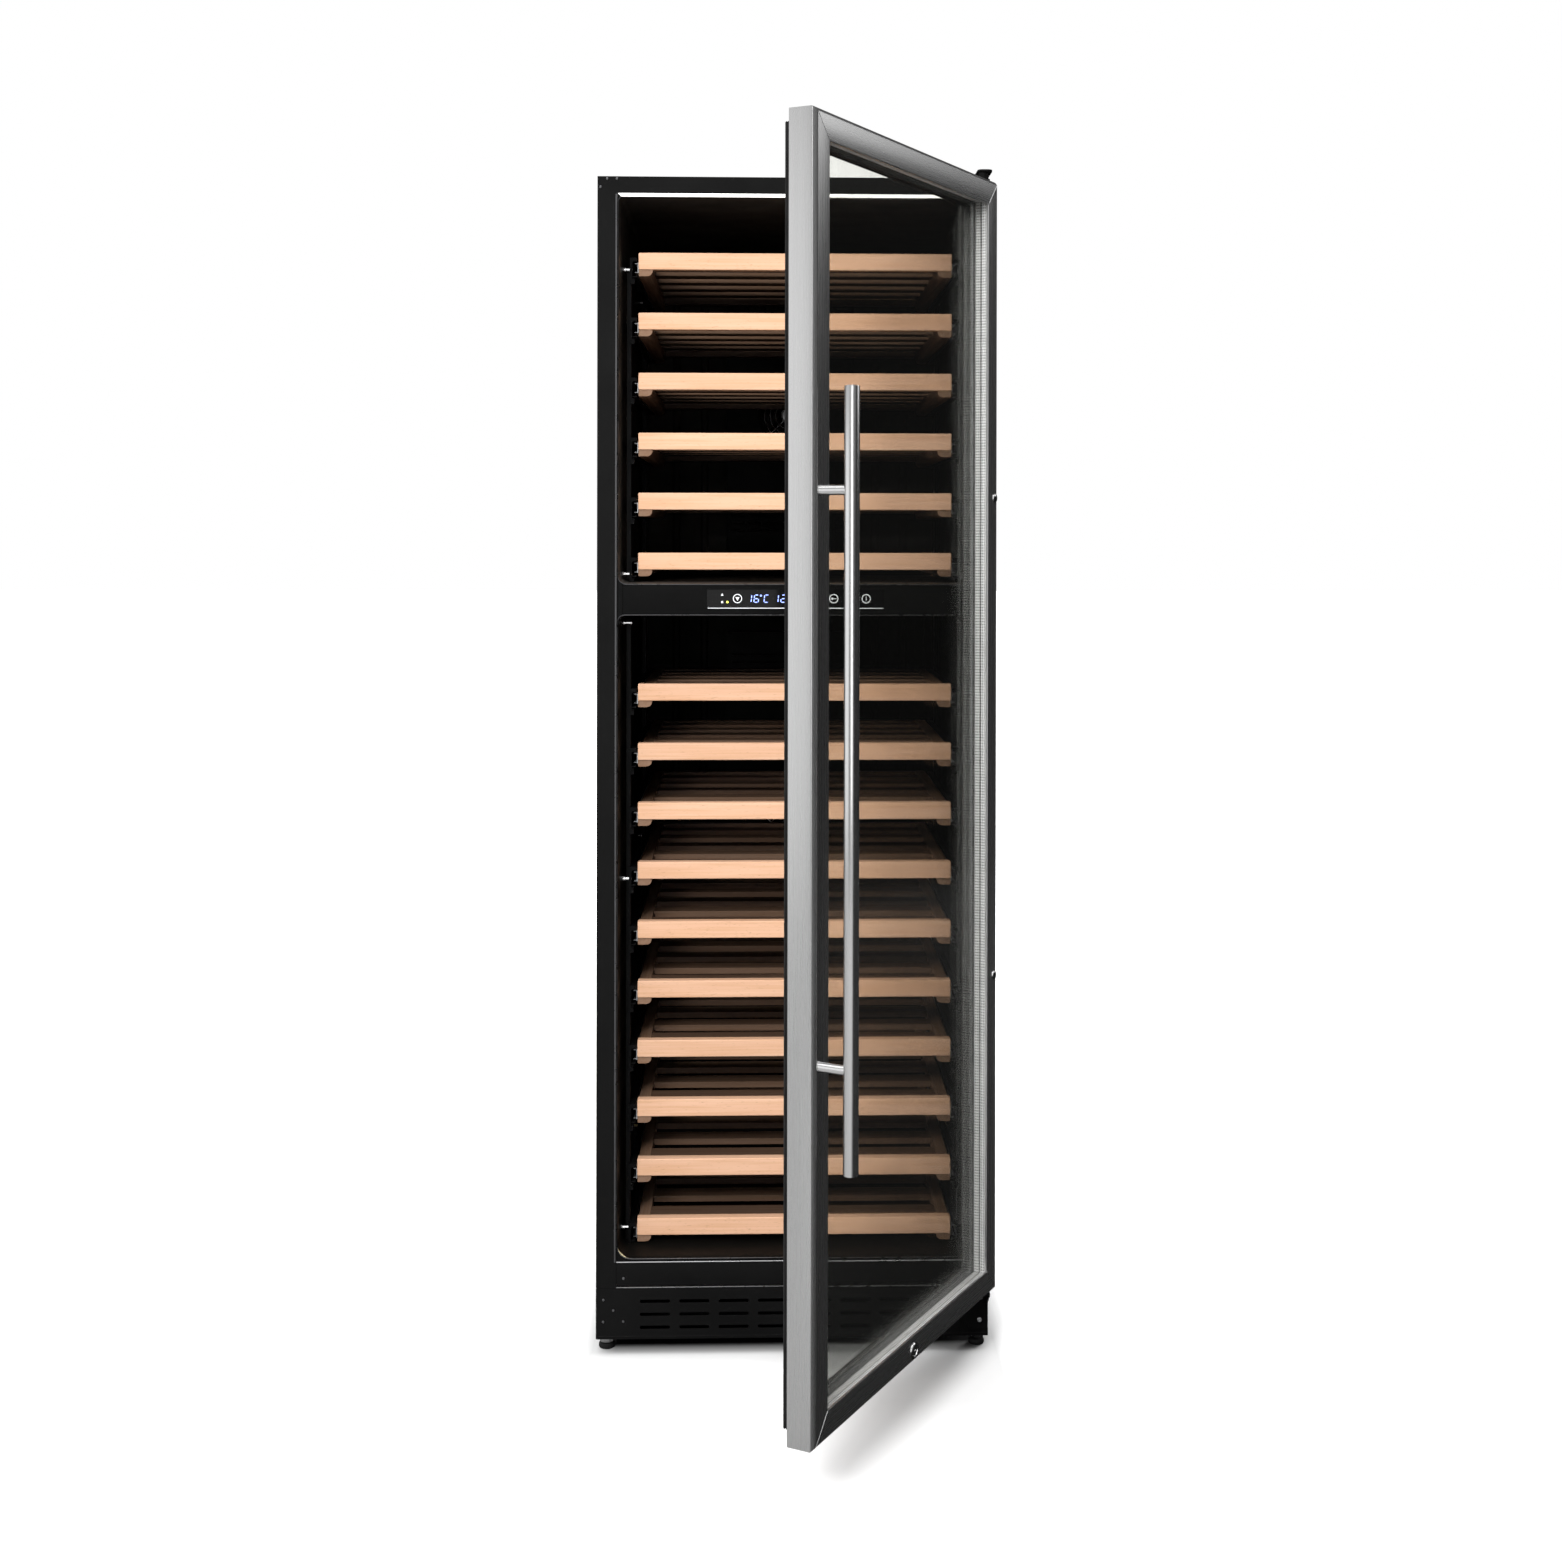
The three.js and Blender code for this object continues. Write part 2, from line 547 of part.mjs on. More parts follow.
// A channel with mitred ends, open at the back. In its outline x is the distance in from the door's edge.
function frameBar(length) {
  const front = DOOR_THICK;
  const lipBack = DOOR_THICK - FRAME_LIP;
  const web = POCKET_EDGE - FRAME_WALL;
  const outline = new THREE.Shape([
    [0, 0], [FRAME_WALL, 0], [FRAME_WALL, front - FRAME_CHAMFER - 2], [FRAME_CHAMFER + 2, lipBack],
    [web, lipBack], [web, 0], [POCKET_EDGE, 0], [POCKET_EDGE, lipBack], [FRAME_WIDTH, lipBack],
    [FRAME_WIDTH, front], [FRAME_CHAMFER, front], [0, front - FRAME_CHAMFER],
  ].map(([x, y]) => new THREE.Vector2(x, y)));
  const bar = new THREE.ExtrudeGeometry(outline, { depth: 1, bevelEnabled: false });
  const position = bar.attributes.position;
  for (let index = 0; index < position.count; index += 1) {
    const mitre = position.getX(index) + GAP / 2;
    const atStart = position.getZ(index) < 0.5;
    position.setZ(index, atStart ? mitre : length - mitre);
  }
  return bar;
}

function laid(geometry, inward, along, corner) {
  const matrix = new THREE.Matrix4().makeBasis(inward, new THREE.Vector3(0, 1, 0), along);
  return geometry.applyMatrix4(matrix.setPosition(corner));
}

// A rectangular ring that follows the door's outline, `outer` and `inner` measured in from its edges.
function ring(outer, inner, y0, y1) {
  const span = (inset, from, to) => box(inset.hinge, DOOR_WIDTH - inset.free, from, to,
    DOOR_BOTTOM + inset.bottom, DOOR_TOP - inset.top);
  return carved([span(outer, y0, y1)], [span(inner, y0 - 1, y1 + 1)]);
}

const evenly = (inset) => ({ hinge: inset, free: inset, top: inset, bottom: inset });

const LOCK_X = DOOR_WIDTH / 2;
const LOCK_Z = DOOR_BOTTOM + 17.5;
const LOCK_HEAD_RADIUS = 11;
const LOCK_BARREL_RADIUS = 6;

function addDoorFrame() {
  const height = DOOR_TOP - DOOR_BOTTOM;
  const [right, up] = [new THREE.Vector3(1, 0, 0), new THREE.Vector3(0, 0, 1)];
  const [left, down] = [right.clone().negate(), up.clone().negate()];
  const corner = (x, z) => new THREE.Vector3(x, 0, z);

  const pinX = EDGE_TO_PIVOT;
  const pinY = FACE_TO_PIVOT;
  const pinHole = (z0, z1) => rod('z', z0, z1, PIN_RADIUS + GAP, [pinX, pinY], 16);
  const lockHead = rod('y', DOOR_THICK - 4, DOOR_THICK + 5, LOCK_HEAD_RADIUS + GAP, [LOCK_X, LOCK_Z]);
  const lockBarrel = rod('y', -1, DOOR_THICK, LOCK_BARREL_RADIUS + GAP, [LOCK_X, LOCK_Z]);

  const hingeStile = laid(frameBar(height), right, up, corner(0, DOOR_BOTTOM));
  const handleStile = laid(frameBar(height), left, down, corner(DOOR_WIDTH, DOOR_TOP));
  const topRail = laid(frameBar(DOOR_WIDTH), down, right, corner(0, DOOR_TOP));
  const bottomRail = laid(frameBar(DOOR_WIDTH), up, left, corner(DOOR_WIDTH, DOOR_BOTTOM));

  place('door_hinge_stile', hingeStile, FINISHES.brushedSteel(), leaf);
  place('door_handle_stile', handleStile, FINISHES.brushedSteel(), leaf);
  place('door_top_rail', carved([topRail], [pinHole(DOOR_TOP - PIN_DEPTH - 1, DOOR_TOP + 1)]),
    FINISHES.brushedSteel(), leaf);
  place('door_bottom_rail',
    carved([bottomRail], [pinHole(DOOR_BOTTOM - 1, DOOR_BOTTOM + PIN_DEPTH + 1), lockHead, lockBarrel]),
    FINISHES.brushedSteel(), leaf);

  const outer = { hinge: 8, free: 8, top: 12, bottom: 15 };
  place('door_inner_frame', ring(outer, evenly(FRAME_WIDTH), -4, -GAP), FINISHES.blackPlastic(), leaf);
  const sealOuter = { hinge: 11, free: 9, top: 14, bottom: 17 };
  place('door_gasket', ring(sealOuter, evenly(FRAME_WIDTH + 2), -12, -4 - GAP), FINISHES.rubber(), leaf);
}

function addGlass() {
  const inset = POCKET_EDGE + GAP;
  const pane = (y0, y1) => box(inset, DOOR_WIDTH - inset, y0, y1, DOOR_BOTTOM + inset, DOOR_TOP - inset);
  const layers = [
    ['outer_glass', GLASS_THICK], ['outer_spacer', SPACER_DEPTH], ['middle_glass', MIDDLE_GLASS_THICK],
    ['inner_spacer', SPACER_DEPTH], ['inner_glass', GLASS_THICK],
  ];
  let front = DOOR_THICK - FRAME_LIP - GAP;
  for (const [name, thickness] of layers) {
    const back = front - thickness;
    if (name.endsWith('glass')) {
      place(name, pane(back, front), FINISHES.glass(), leaf);
    } else {
      place(name, ring(evenly(SPACER_OUTER), evenly(SPACER_INNER), back, front), FINISHES.aluminium(), leaf);
    }
    front = back - GAP;
  }
}

function addHandle() {
  const axisX = DOOR_WIDTH - HANDLE_INSET;
  const axisY = DOOR_THICK + HANDLE_STANDOFF;
  const middle = (DOOR_TOP + DOOR_BOTTOM) / 2;
  const [low, high] = [middle - HANDLE_LENGTH / 2, middle + HANDLE_LENGTH / 2];
  const tube = carved([rod('z', low, high, HANDLE_RADIUS, [axisX, axisY], 28)],
    [rod('z', low - 1, high + 1, HANDLE_RADIUS - HANDLE_WALL, [axisX, axisY], 28)]);
  place('handle_tube', tube, FINISHES.brushedSteel(), leaf);
  for (const [side, name] of [[-1, 'lower'], [1, 'upper']]) {
    const z = middle + (side * POST_SPACING) / 2;
    const post = carved([rod('y', DOOR_THICK + GAP, axisY, POST_RADIUS, [axisX, z], 20)],
      [rod('z', z - 20, z + 20, HANDLE_RADIUS + GAP, [axisX, axisY], 28)]);
    place(`handle_post_${name}`, post, FINISHES.brushedSteel(), leaf);
  }
}

function addLock() {
  const plug = joined([
    rod('y', DOOR_THICK - 3.5, DOOR_THICK + 2, LOCK_HEAD_RADIUS, [LOCK_X, LOCK_Z]),
    rod('y', 12, DOOR_THICK - 3, LOCK_BARREL_RADIUS, [LOCK_X, LOCK_Z]),
  ]);
  const [halfWidth, halfHeight] = [4, 0.8];
  const keySlot = solid(box(LOCK_X - halfWidth, LOCK_X + halfWidth, DOOR_THICK - 3, DOOR_THICK + 3,
    LOCK_Z - halfHeight, LOCK_Z + halfHeight));
  place('lock_plug', geometryOf(plug.subtract(keySlot)), FINISHES.chrome(), leaf);
}

// ---------------------------------------------------------------- assembly
addCasing();
addKickPlate();
addBase();
addLining();
addControls();
addRacks();
addShelves();
addDuct('upper', UPPER_DUCT);
addDuct('lower', LOWER_DUCT);
addCompressor();
addCondenser();
addCondenserFan();
addPowerInlet();
addHinges();
addDoorFrame();
addGlass();
addHandle();
addLock();

const bounds = new THREE.Box3().setFromObject(group, true);
const middle = bounds.getCenter(new THREE.Vector3());
group.position.set(-middle.x, -middle.y, -bounds.min.z);

export default group;
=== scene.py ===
# The looks of a tall two-zone wine cooler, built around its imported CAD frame.
# Shapes are drawn in millimetres in one of two places. In the cabinet's, X runs from the middle of the
# cabinet, Y from its front face backwards and Z from the floor. In the door's, X runs from the hinge edge to
# the free edge, Y from the steel's inner face outwards and Z from the floor.
import json
import math
from functools import partial

import bmesh
import bpy
from mathutils import Euler, Matrix, Vector


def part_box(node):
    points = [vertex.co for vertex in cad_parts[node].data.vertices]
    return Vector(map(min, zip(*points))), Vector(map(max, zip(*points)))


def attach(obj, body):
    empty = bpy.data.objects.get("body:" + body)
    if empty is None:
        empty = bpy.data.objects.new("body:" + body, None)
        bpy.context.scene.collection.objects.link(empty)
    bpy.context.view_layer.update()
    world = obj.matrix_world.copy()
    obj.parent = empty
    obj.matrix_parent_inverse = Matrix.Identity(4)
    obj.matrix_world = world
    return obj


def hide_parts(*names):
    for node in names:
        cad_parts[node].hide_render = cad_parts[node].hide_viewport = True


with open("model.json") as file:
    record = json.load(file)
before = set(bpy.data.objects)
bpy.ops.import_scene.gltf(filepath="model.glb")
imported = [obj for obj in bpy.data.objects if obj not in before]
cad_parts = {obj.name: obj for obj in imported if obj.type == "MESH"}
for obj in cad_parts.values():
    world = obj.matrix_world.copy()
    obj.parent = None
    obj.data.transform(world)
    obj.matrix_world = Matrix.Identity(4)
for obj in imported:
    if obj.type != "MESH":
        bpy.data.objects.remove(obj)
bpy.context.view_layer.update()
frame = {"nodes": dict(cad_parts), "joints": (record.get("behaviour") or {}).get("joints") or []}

MM = 0.001

# ---------------------------------------------------------------- places
shell_low, shell_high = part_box("outer_shell")
face_low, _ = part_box("front_frame")
CABINET = Matrix.Translation(((shell_low.x + shell_high.x) / 2, face_low.y, 0))

SPACER_DEPTH = 8                # how far a spacer bar stands in from its outer edge
HINGE_TO_EDGE = 16.5            # hinge pin to the door's hinge edge, along the door
HINGE_TO_FACE = 20              # hinge pin to the door steel's inner face, across it


def joint(name):
    return next(entry for entry in frame["joints"] if entry["name"] == name)


def door_place():
    hinge = joint("door_swing")
    turn = Matrix.Rotation(math.radians(-hinge["range_deg"][0]), 4, "Z")
    inset = Matrix.Translation((HINGE_TO_EDGE * MM, HINGE_TO_FACE * MM, 0))
    pivot = Vector(hinge["pos_m"])
    pivot.z = 0
    return Matrix.Translation(pivot) @ turn @ inset @ Matrix.Rotation(math.pi, 4, "Z")


DOOR = door_place()


def extent(node, place=CABINET):
    """A CAD node's (low, high) in X, Y and Z, in millimetres in that place."""
    back = place.inverted()
    corners = [back @ vertex.co / MM for vertex in frame["nodes"][node].data.vertices]
    return [(min(c[axis] for c in corners), max(c[axis] for c in corners)) for axis in range(3)]


# ---------------------------------------------------------------- outlines
def rounded(corners, steps=4):
    """An outline from its corners, each (u, v, reach), a corner being eased over `reach` on both sides."""
    points = []
    for index, (u, v, reach) in enumerate(corners):
        here = Vector((u, v))
        if not reach:
            points.append((u, v))
            continue
        start = here + (Vector(corners[index - 1][:2]) - here).normalized() * reach
        end = here + (Vector(corners[(index + 1) % len(corners)][:2]) - here).normalized() * reach
        for step in range(steps + 1):
            t = step / steps
            points.append(tuple(start.lerp(here, t).lerp(here.lerp(end, t), t)))
    return points


def rectangle(u, v, reach=0.0, steps=4):
    corners = ((u[0], v[0]), (u[1], v[0]), (u[1], v[1]), (u[0], v[1]))
    return rounded([(a, b, reach) for a, b in corners], steps)


def polar(centre, radius, angle):
    return (centre[0] + radius * math.cos(angle), centre[1] + radius * math.sin(angle))


def circle(centre, radius, sides):
    return [polar(centre, radius, 2 * math.pi * side / sides) for side in range(sides)]


def slot_outline(u, v, length, height):
    return rectangle((u - length / 2, u + length / 2), (v - height / 2, v + height / 2), height / 2.01, 5)


def spot(axis, along, u, v):
    """A point from its place along one axis and its two other coordinates, in X, Y, Z order."""
    return {"x": (along, u, v), "y": (u, along, v), "z": (u, v, along)}[axis]


def widened(span, by):
    return (span[0] - by, span[1] + by)


# ---------------------------------------------------------------- solids
class Shape:
    """Closed solids gathered into one mesh, drawn in millimetres."""

    def __init__(self):
        self.bm = bmesh.new()

    def loft(self, rings, closed=False):
        """Skins a row of rings. Its two ends are capped, unless the row closes on itself."""
        rows = [[self.bm.verts.new(point) for point in ring] for ring in rings]
        count = len(rows[0])
        for index in range(len(rows) if closed else len(rows) - 1):
            near = rows[index]
            far = rows[(index + 1) % len(rows)]
            for side in range(count):
                turn = (side + 1) % count
                self.bm.faces.new((near[side], near[turn], far[turn], far[side]))
        if not closed:
            self.bm.faces.new(rows[0][::-1])
            self.bm.faces.new(rows[-1])
        return self

    def prism(self, axis, span, outline):
        return self.loft([[spot(axis, along, u, v) for u, v in outline] for along in span])

    def box(self, x, y, z):
        return self.prism("z", z, rectangle(x, y))

    def rod(self, axis, span, radius, centre, sides=32):
        return self.prism(axis, span, circle(centre, radius, sides))

    def turned(self, axis, profile, centre, sides=40):
        """A solid of revolution, from (radius, place along the axis) pairs."""
        return self.loft([[spot(axis, along, u, v) for u, v in circle(centre, radius, sides)]
                          for radius, along in profile])

    def hoop(self, axis, profile, centre, sides=48):
        """A ring of revolution, from the (radius, place along the axis) outline of its section."""
        rings = []
        for side in range(sides):
            angle = 2 * math.pi * side / sides
            rings.append([spot(axis, along, *polar(centre, radius, angle)) for radius, along in profile])
        return self.loft(rings, closed=True)

    def moulding(self, outline_at, section):
        """A section of (grow, y) points carried round the outline that outline_at(grow) gives in X and Z."""
        rings = [[spot("y", y, u, v) for u, v in outline_at(grow)] for grow, y in section]
        return self.loft(rings, closed=True)

    def band(self, outer, inner, section):
        """A mitred frame round the Y axis. Its section is (t, y), where t is 0 outside and 1 inside."""
        rings = []
        for i, j in ((0, 0), (1, 0), (1, 1), (0, 1)):
            (x0, z0), (x1, z1) = (outer[0][i], outer[1][j]), (inner[0][i], inner[1][j])
            rings.append([(x0 + t * (x1 - x0), y, z0 + t * (z1 - z0)) for t, y in section])
        return self.loft(rings, closed=True)

    def bar(self, section, length, corner, inward, along, mitres=(1, 1)):
        """A straight bar of (inward, y) section. A mitre of 1 cuts an end at 45 degrees, 0 cuts it square."""
        basis = Matrix((inward, (0, 1, 0), along)).transposed()
        rings = []
        for end, mitre in ((0, mitres[0]), (length, -mitres[1])):
            rings.append([Vector(corner) + basis @ Vector((depth, y, end + mitre * depth))
                          for depth, y in section])
        return self.loft(rings)

    def plate(self, axis, span, outline, holes):
        """A flat plate with holes through it."""
        edges = []
        for loop in [outline, *holes]:
            points = [self.bm.verts.new(spot(axis, span[0], u, v)) for u, v in loop]
            edges += [self.bm.edges.new(pair) for pair in zip(points, points[1:] + points[:1])]
        filled = bmesh.ops.triangle_fill(self.bm, edges=edges, use_beauty=True)["geom"]
        faces = [item for item in filled if isinstance(item, bmesh.types.BMFace)]
        raised = bmesh.ops.extrude_face_region(self.bm, geom=faces)["geom"]
        lift = Vector(spot(axis, span[1] - span[0], 0, 0))
        bmesh.ops.translate(self.bm, vec=lift, verts=[v for v in raised if isinstance(v, bmesh.types.BMVert)])
        return self

    def pipe(self, path, radius, sides=12):
        """A round tube along a path of points."""
        points = [Vector(point) for point in path]
        ways = [(points[min(i + 1, len(points) - 1)] - points[max(i - 1, 0)]).normalized()
                for i in range(len(points))]
        across = ways[0].orthogonal().normalized()
        rings = []
        for point, way in zip(points, ways):
            across = (across - way * across.dot(way)).normalized()
            other = way.cross(across)
            rings.append([point + radius * (across * math.cos(a) + other * math.sin(a))
                          for a in (2 * math.pi * side / sides for side in range(sides))])
        return self.loft(rings)

    def screw(self, axis, face, outwards, centre, radius=2.6):
        """A pan-head screw standing on a face, its drive recess sunk in the middle."""
        profile = [(radius, 0), (radius, 0.5), (radius * 0.86, 1.1), (radius * 0.5, 1.4), (radius * 0.4, 1.3),
                   (radius * 0.2, 0.5)]
        return self.turned(axis, [(r, face + outwards * rise) for r, rise in profile], centre, 20)


def placed(name, data):
    """A new object in the scene."""
    made = bpy.data.objects.new(name, data)
    bpy.context.scene.collection.objects.link(made)
    return made


def facing(direction):
    """The turn that points a light along a direction."""
    return Vector(direction).to_track_quat("-Z", "Y").to_euler()


SHARP = math.radians(35)        # an edge is beveled, or kept sharp, where it turns by more than this


def piece(name, shape, finish, body="cabinet", place=CABINET, bevel=0, steps=2, stands_for=()):
    """Turns a Shape into a named object in a finish, riding on a CAD body."""
    bmesh.ops.recalc_face_normals(shape.bm, faces=shape.bm.faces)
    bmesh.ops.scale(shape.bm, vec=(MM, MM, MM), verts=shape.bm.verts)
    mesh = bpy.data.meshes.new(name)
    shape.bm.to_mesh(mesh)
    shape.bm.free()
    mesh.shade_smooth()
    mesh.materials.append(finish["material"])
    made = placed(name, mesh)
    made.matrix_world = place
    if bevel:
        edge = made.modifiers.new("edges", "BEVEL")
        edge.width = bevel * MM
        edge.segments = steps
        edge.limit_method = "ANGLE"
        edge.angle_limit = SHARP
        edge.harden_normals = True
    else:
        mesh.set_sharp_from_angle(angle=SHARP)
    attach(made, body)
    if stands_for:
        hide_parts(*stands_for)


# ---------------------------------------------------------------- finishes
def add_node(tree, kind, links=(), **settings):
    """A node with its sockets linked, or set where the source is a plain value."""
    node = tree.nodes.new(kind)
    for key, value in settings.items():
        setattr(node, key, value)
    for socket, source in dict(links).items():
        if isinstance(source, bpy.types.NodeSocket):
            tree.links.new(source, node.inputs[socket])
        else:
            node.inputs[socket].default_value = source
    return node


class Nodes:
    """A Principled material under construction. Plain numbers go straight on to the shader's sockets."""

    def __init__(self, name, **sockets):
        self.material = bpy.data.materials.new(name)
        self.material.use_nodes = True
        self.tree = self.material.node_tree
        self.shader = self.tree.nodes["Principled BSDF"]
        self.place = self.add("ShaderNodeTexCoord").outputs["Object"]
        for socket, value in sockets.items():
            self.shader.inputs[socket.replace("_", " ")].default_value = value

    def add(self, kind, links=(), **settings):
        return add_node(self.tree, kind, links, **settings)

    def stretched(self, scale, offset=(0, 0, 0)):
        links = {"Vector": self.place, "Scale": scale, "Location": offset}
        return self.add("ShaderNodeMapping", links).outputs["Vector"]

    def noise(self, scale, detail=3.0, vector=None, distortion=0.0):
        links = {"Vector": vector or self.place, "Scale": scale, "Detail": detail, "Distortion": distortion}
        return self.add("ShaderNodeTexNoise", links).outputs["Fac"]

    def span(self, value, to, source=(0.3, 0.7)):
        links = {"Value": value, "From Min": source[0], "From Max": source[1],
                 "To Min": to[0], "To Max": to[1]}
        return self.add("ShaderNodeMapRange", links).outputs["Result"]

    def ramp(self, value, stops):
        node = self.add("ShaderNodeValToRGB", {"Fac": value})
        elements = node.color_ramp.elements
        while len(elements) < len(stops):
            elements.new(0.5)
        for element, (position, colour) in zip(elements, stops):
            element.position = position
            element.color = (*colour, 1)
        return node.outputs["Color"]

    def mixed(self, factor, one, other):
        node = self.add("ShaderNodeMix", data_type="RGBA")
        for index, source in ((0, factor), (6, one), (7, other)):
            if isinstance(source, bpy.types.NodeSocket):
                self.tree.links.new(source, node.inputs[index])
            else:
                node.inputs[index].default_value = source if index == 0 else (*source, 1)
        return node.outputs[2]

    def maths(self, operation, one, other=0.0):
        return self.add("ShaderNodeMath", {0: one, 1: other}, operation=operation).outputs[0]

    def over(self, count, limit=0.5):
        return self.maths("GREATER_THAN", count, limit)

    def patchy(self, scale, detail, dark, light):
        """A base colour that drifts between two shades."""
        self.link(self.ramp(self.noise(scale, detail), [(0.3, dark), (0.7, light)]), "Base Color")

    def worn(self, scale, detail, roughness):
        """A roughness that drifts between two values."""
        self.link(self.span(self.noise(scale, detail), roughness), "Roughness")

    def relief(self, height, depth, strength=1.0):
        """Bumps the surface by `height`, whose full range stands `depth` millimetres tall."""
        links = {"Height": height, "Distance": depth * MM, "Strength": strength}
        self.link(self.add("ShaderNodeBump", links).outputs["Normal"], "Normal")

    def link(self, source, socket):
        self.tree.links.new(source, self.shader.inputs[socket])

    def done(self, slot):
        return {"material": self.material, "slot": slot}


def grey(level, warmth=0.0):
    return (level * (1 + warmth), level, level * (1 - warmth))


def powder_coat():
    """Satin black powder coat, with its orange peel."""
    made = Nodes("powder_coat", Specular_IOR_Level=0.06)
    made.patchy(7, 4, grey(0.005), grey(0.0075))
    made.worn(11, 5, (0.34, 0.46))
    made.relief(made.noise(1100, 2), 0.05, 0.35)
    return made.done("black_steel")


def moulded(name="moulded_black", level=0.0035, roughness=(0.42, 0.55), warmth=0.0):
    """Black moulded plastic with a fine spark-eroded grain."""
    made = Nodes(name, Specular_IOR_Level=0.08)
    made.patchy(9, 3, grey(level * 0.8, warmth), grey(level * 1.25, warmth))
    made.worn(14, 3, roughness)
    made.relief(made.noise(2600, 2), 0.03, 0.3)
    return made.done("black_plastic")


def brushed(name, grain, level=0.6, roughness=(0.26, 0.3)):
    """Stainless steel brushed along one axis of its object: `grain` is 0, 1 or 2 for X, Y or Z."""
    made = Nodes(name, Metallic=1.0)
    fine = [1700.0] * 3
    fine[grain] = 9.0
    coarse = [90.0] * 3
    coarse[grain] = 1.6
    streaks = made.noise(1, 3, made.stretched(fine))
    clouds = made.noise(1, 4, made.stretched(coarse))
    made.link(made.ramp(clouds, [(0.25, grey(level * 0.98)), (0.75, grey(level * 1.02))]), "Base Color")
    made.link(made.span(streaks, roughness), "Roughness")
    made.relief(streaks, 0.0015, 0.3)
    return made.done("brushed_steel")


def polished():
    made = Nodes("polished_chrome", Metallic=1.0)
    made.patchy(60, 3, grey(0.787), grey(0.845))
    made.worn(160, 4, (0.06, 0.13))
    made.relief(made.noise(800, 2), 0.004, 0.3)
    return made.done("chrome")


def gloss_black():
    made = Nodes("gloss_black", Specular_IOR_Level=0.12)
    made.patchy(20, 2, grey(0.0025), grey(0.0045))
    made.worn(35, 4, (0.04, 0.10))
    return made.done("display_gloss")


def rubber():
    made = Nodes("seal_rubber", Specular_IOR_Level=0.3)
    made.patchy(25, 4, grey(0.006), grey(0.012))
    made.worn(40, 3, (0.55, 0.75))
    made.relief(made.noise(1800, 3), 0.04, 0.35)
    return made.done("gasket_rubber")


def bare_metal(name, colour, roughness, slot, scale=50.0):
    """Metal with a soft patchy finish: zinc plate, mill aluminium, copper or dark anodising."""
    made = Nodes(name, Metallic=1.0)
    made.patchy(scale, 5, tuple(channel * 0.85 for channel in colour), colour)
    made.worn(scale * 2, 4, roughness)
    made.relief(made.noise(scale * 12, 3), 0.02, 0.3)
    return made.done(slot)


def perforated():
    """The glass unit's spacer bar: mill aluminium with two rows of fine drying holes along its inner face."""
    made = Nodes("perforated_spacer", Metallic=0.3)
    pitch, rows = 4.2, 3.0
    x, (y0, _), z = extent("outer_spacer", DOOR)
    planes = (x[0] + SPACER_DEPTH, y0 + rows * 0.9, z[0] + SPACER_DEPTH)
    scales = (1 / pitch, 1 / rows, 1 / pitch)
    offset = [-plane * scale % 1 for plane, scale in zip(planes, scales)]
    lattice = made.stretched([scale / MM for scale in scales], offset)
    cells = made.add("ShaderNodeTexVoronoi", {"Vector": lattice, "Scale": 1.0, "Randomness": 0.0})
    holes = made.span(cells.outputs["Distance"], (0, 1), (0.24, 0.34))
    shine = made.ramp(made.noise(70, 4), [(0.3, grey(0.7)), (0.7, grey(0.85))])
    # The dark dots mark the real drying holes; their darkness is painted shade inside the holes.
    made.link(made.mixed(holes, grey(0.05), shine), "Base Color")
    made.worn(200, 3, (0.4, 0.5))
    made.relief(holes, 0.25, 0.8)
    return made.done("aluminium")


def foam():
    made = Nodes("foam_skin", Specular_IOR_Level=0.2, Roughness=0.9)
    made.patchy(30, 6, (0.62, 0.52, 0.3), (0.8, 0.72, 0.48))
    cells = made.add("ShaderNodeTexVoronoi", {"Vector": made.place, "Scale": 400.0})
    made.relief(cells.outputs["Distance"], 0.4, 0.5)
    return made.done("foam")


BEECH_COLOURS = ((0.82, 0.515, 0.35), (0.74, 0.44, 0.282), (0.62, 0.33, 0.165), (0.36, 0.19, 0.10))


def beech(name, grain, seed, tone):
    """Oiled beech whose grain runs along X (0) or Y (1), with the short dark flecks that beech has."""
    made = Nodes(name, Specular_IOR_Level=0.3)
    offset = (seed * 1.7, seed * 2.3, seed * 0.9)

    def along(length, width):
        scale = [width] * 3
        scale[grain] = length
        return made.stretched(scale, offset)

    figure = made.noise(1, 4, along(3.2, 46), 0.4)
    lines = made.noise(1, 5, along(8, 300))
    flecks = made.noise(1, 1, along(130, 900))
    pale, warm, deep, fleck = (tuple(channel * tone for channel in colour) for colour in BEECH_COLOURS)
    base = made.ramp(figure, [(0.3, warm), (0.7, pale)])
    lined = made.mixed(made.span(lines, (0, 0.5), (0.42, 0.72)), base, deep)
    flecked = made.mixed(made.span(flecks, (0, 0.4), (0.66, 0.74)), lined, fleck)
    made.link(flecked, "Base Color")
    made.link(made.span(lines, (0.5, 0.64)), "Roughness")
    made.relief(lines, 0.05, 0.25)
    return made.done("beech")


def lit(name, colour, strength):
    """A printed or lit mark: even light with a slight unevenness in the ink."""
    made = Nodes(name, Roughness=0.4, Emission_Strength=strength)
    shade = made.ramp(made.noise(300, 2), [(0.3, tuple(c * 0.9 for c in colour)), (0.7, colour)])
    made.link(shade, "Base Color")
    made.link(shade, "Emission Color")
    return made.done("display_gloss")


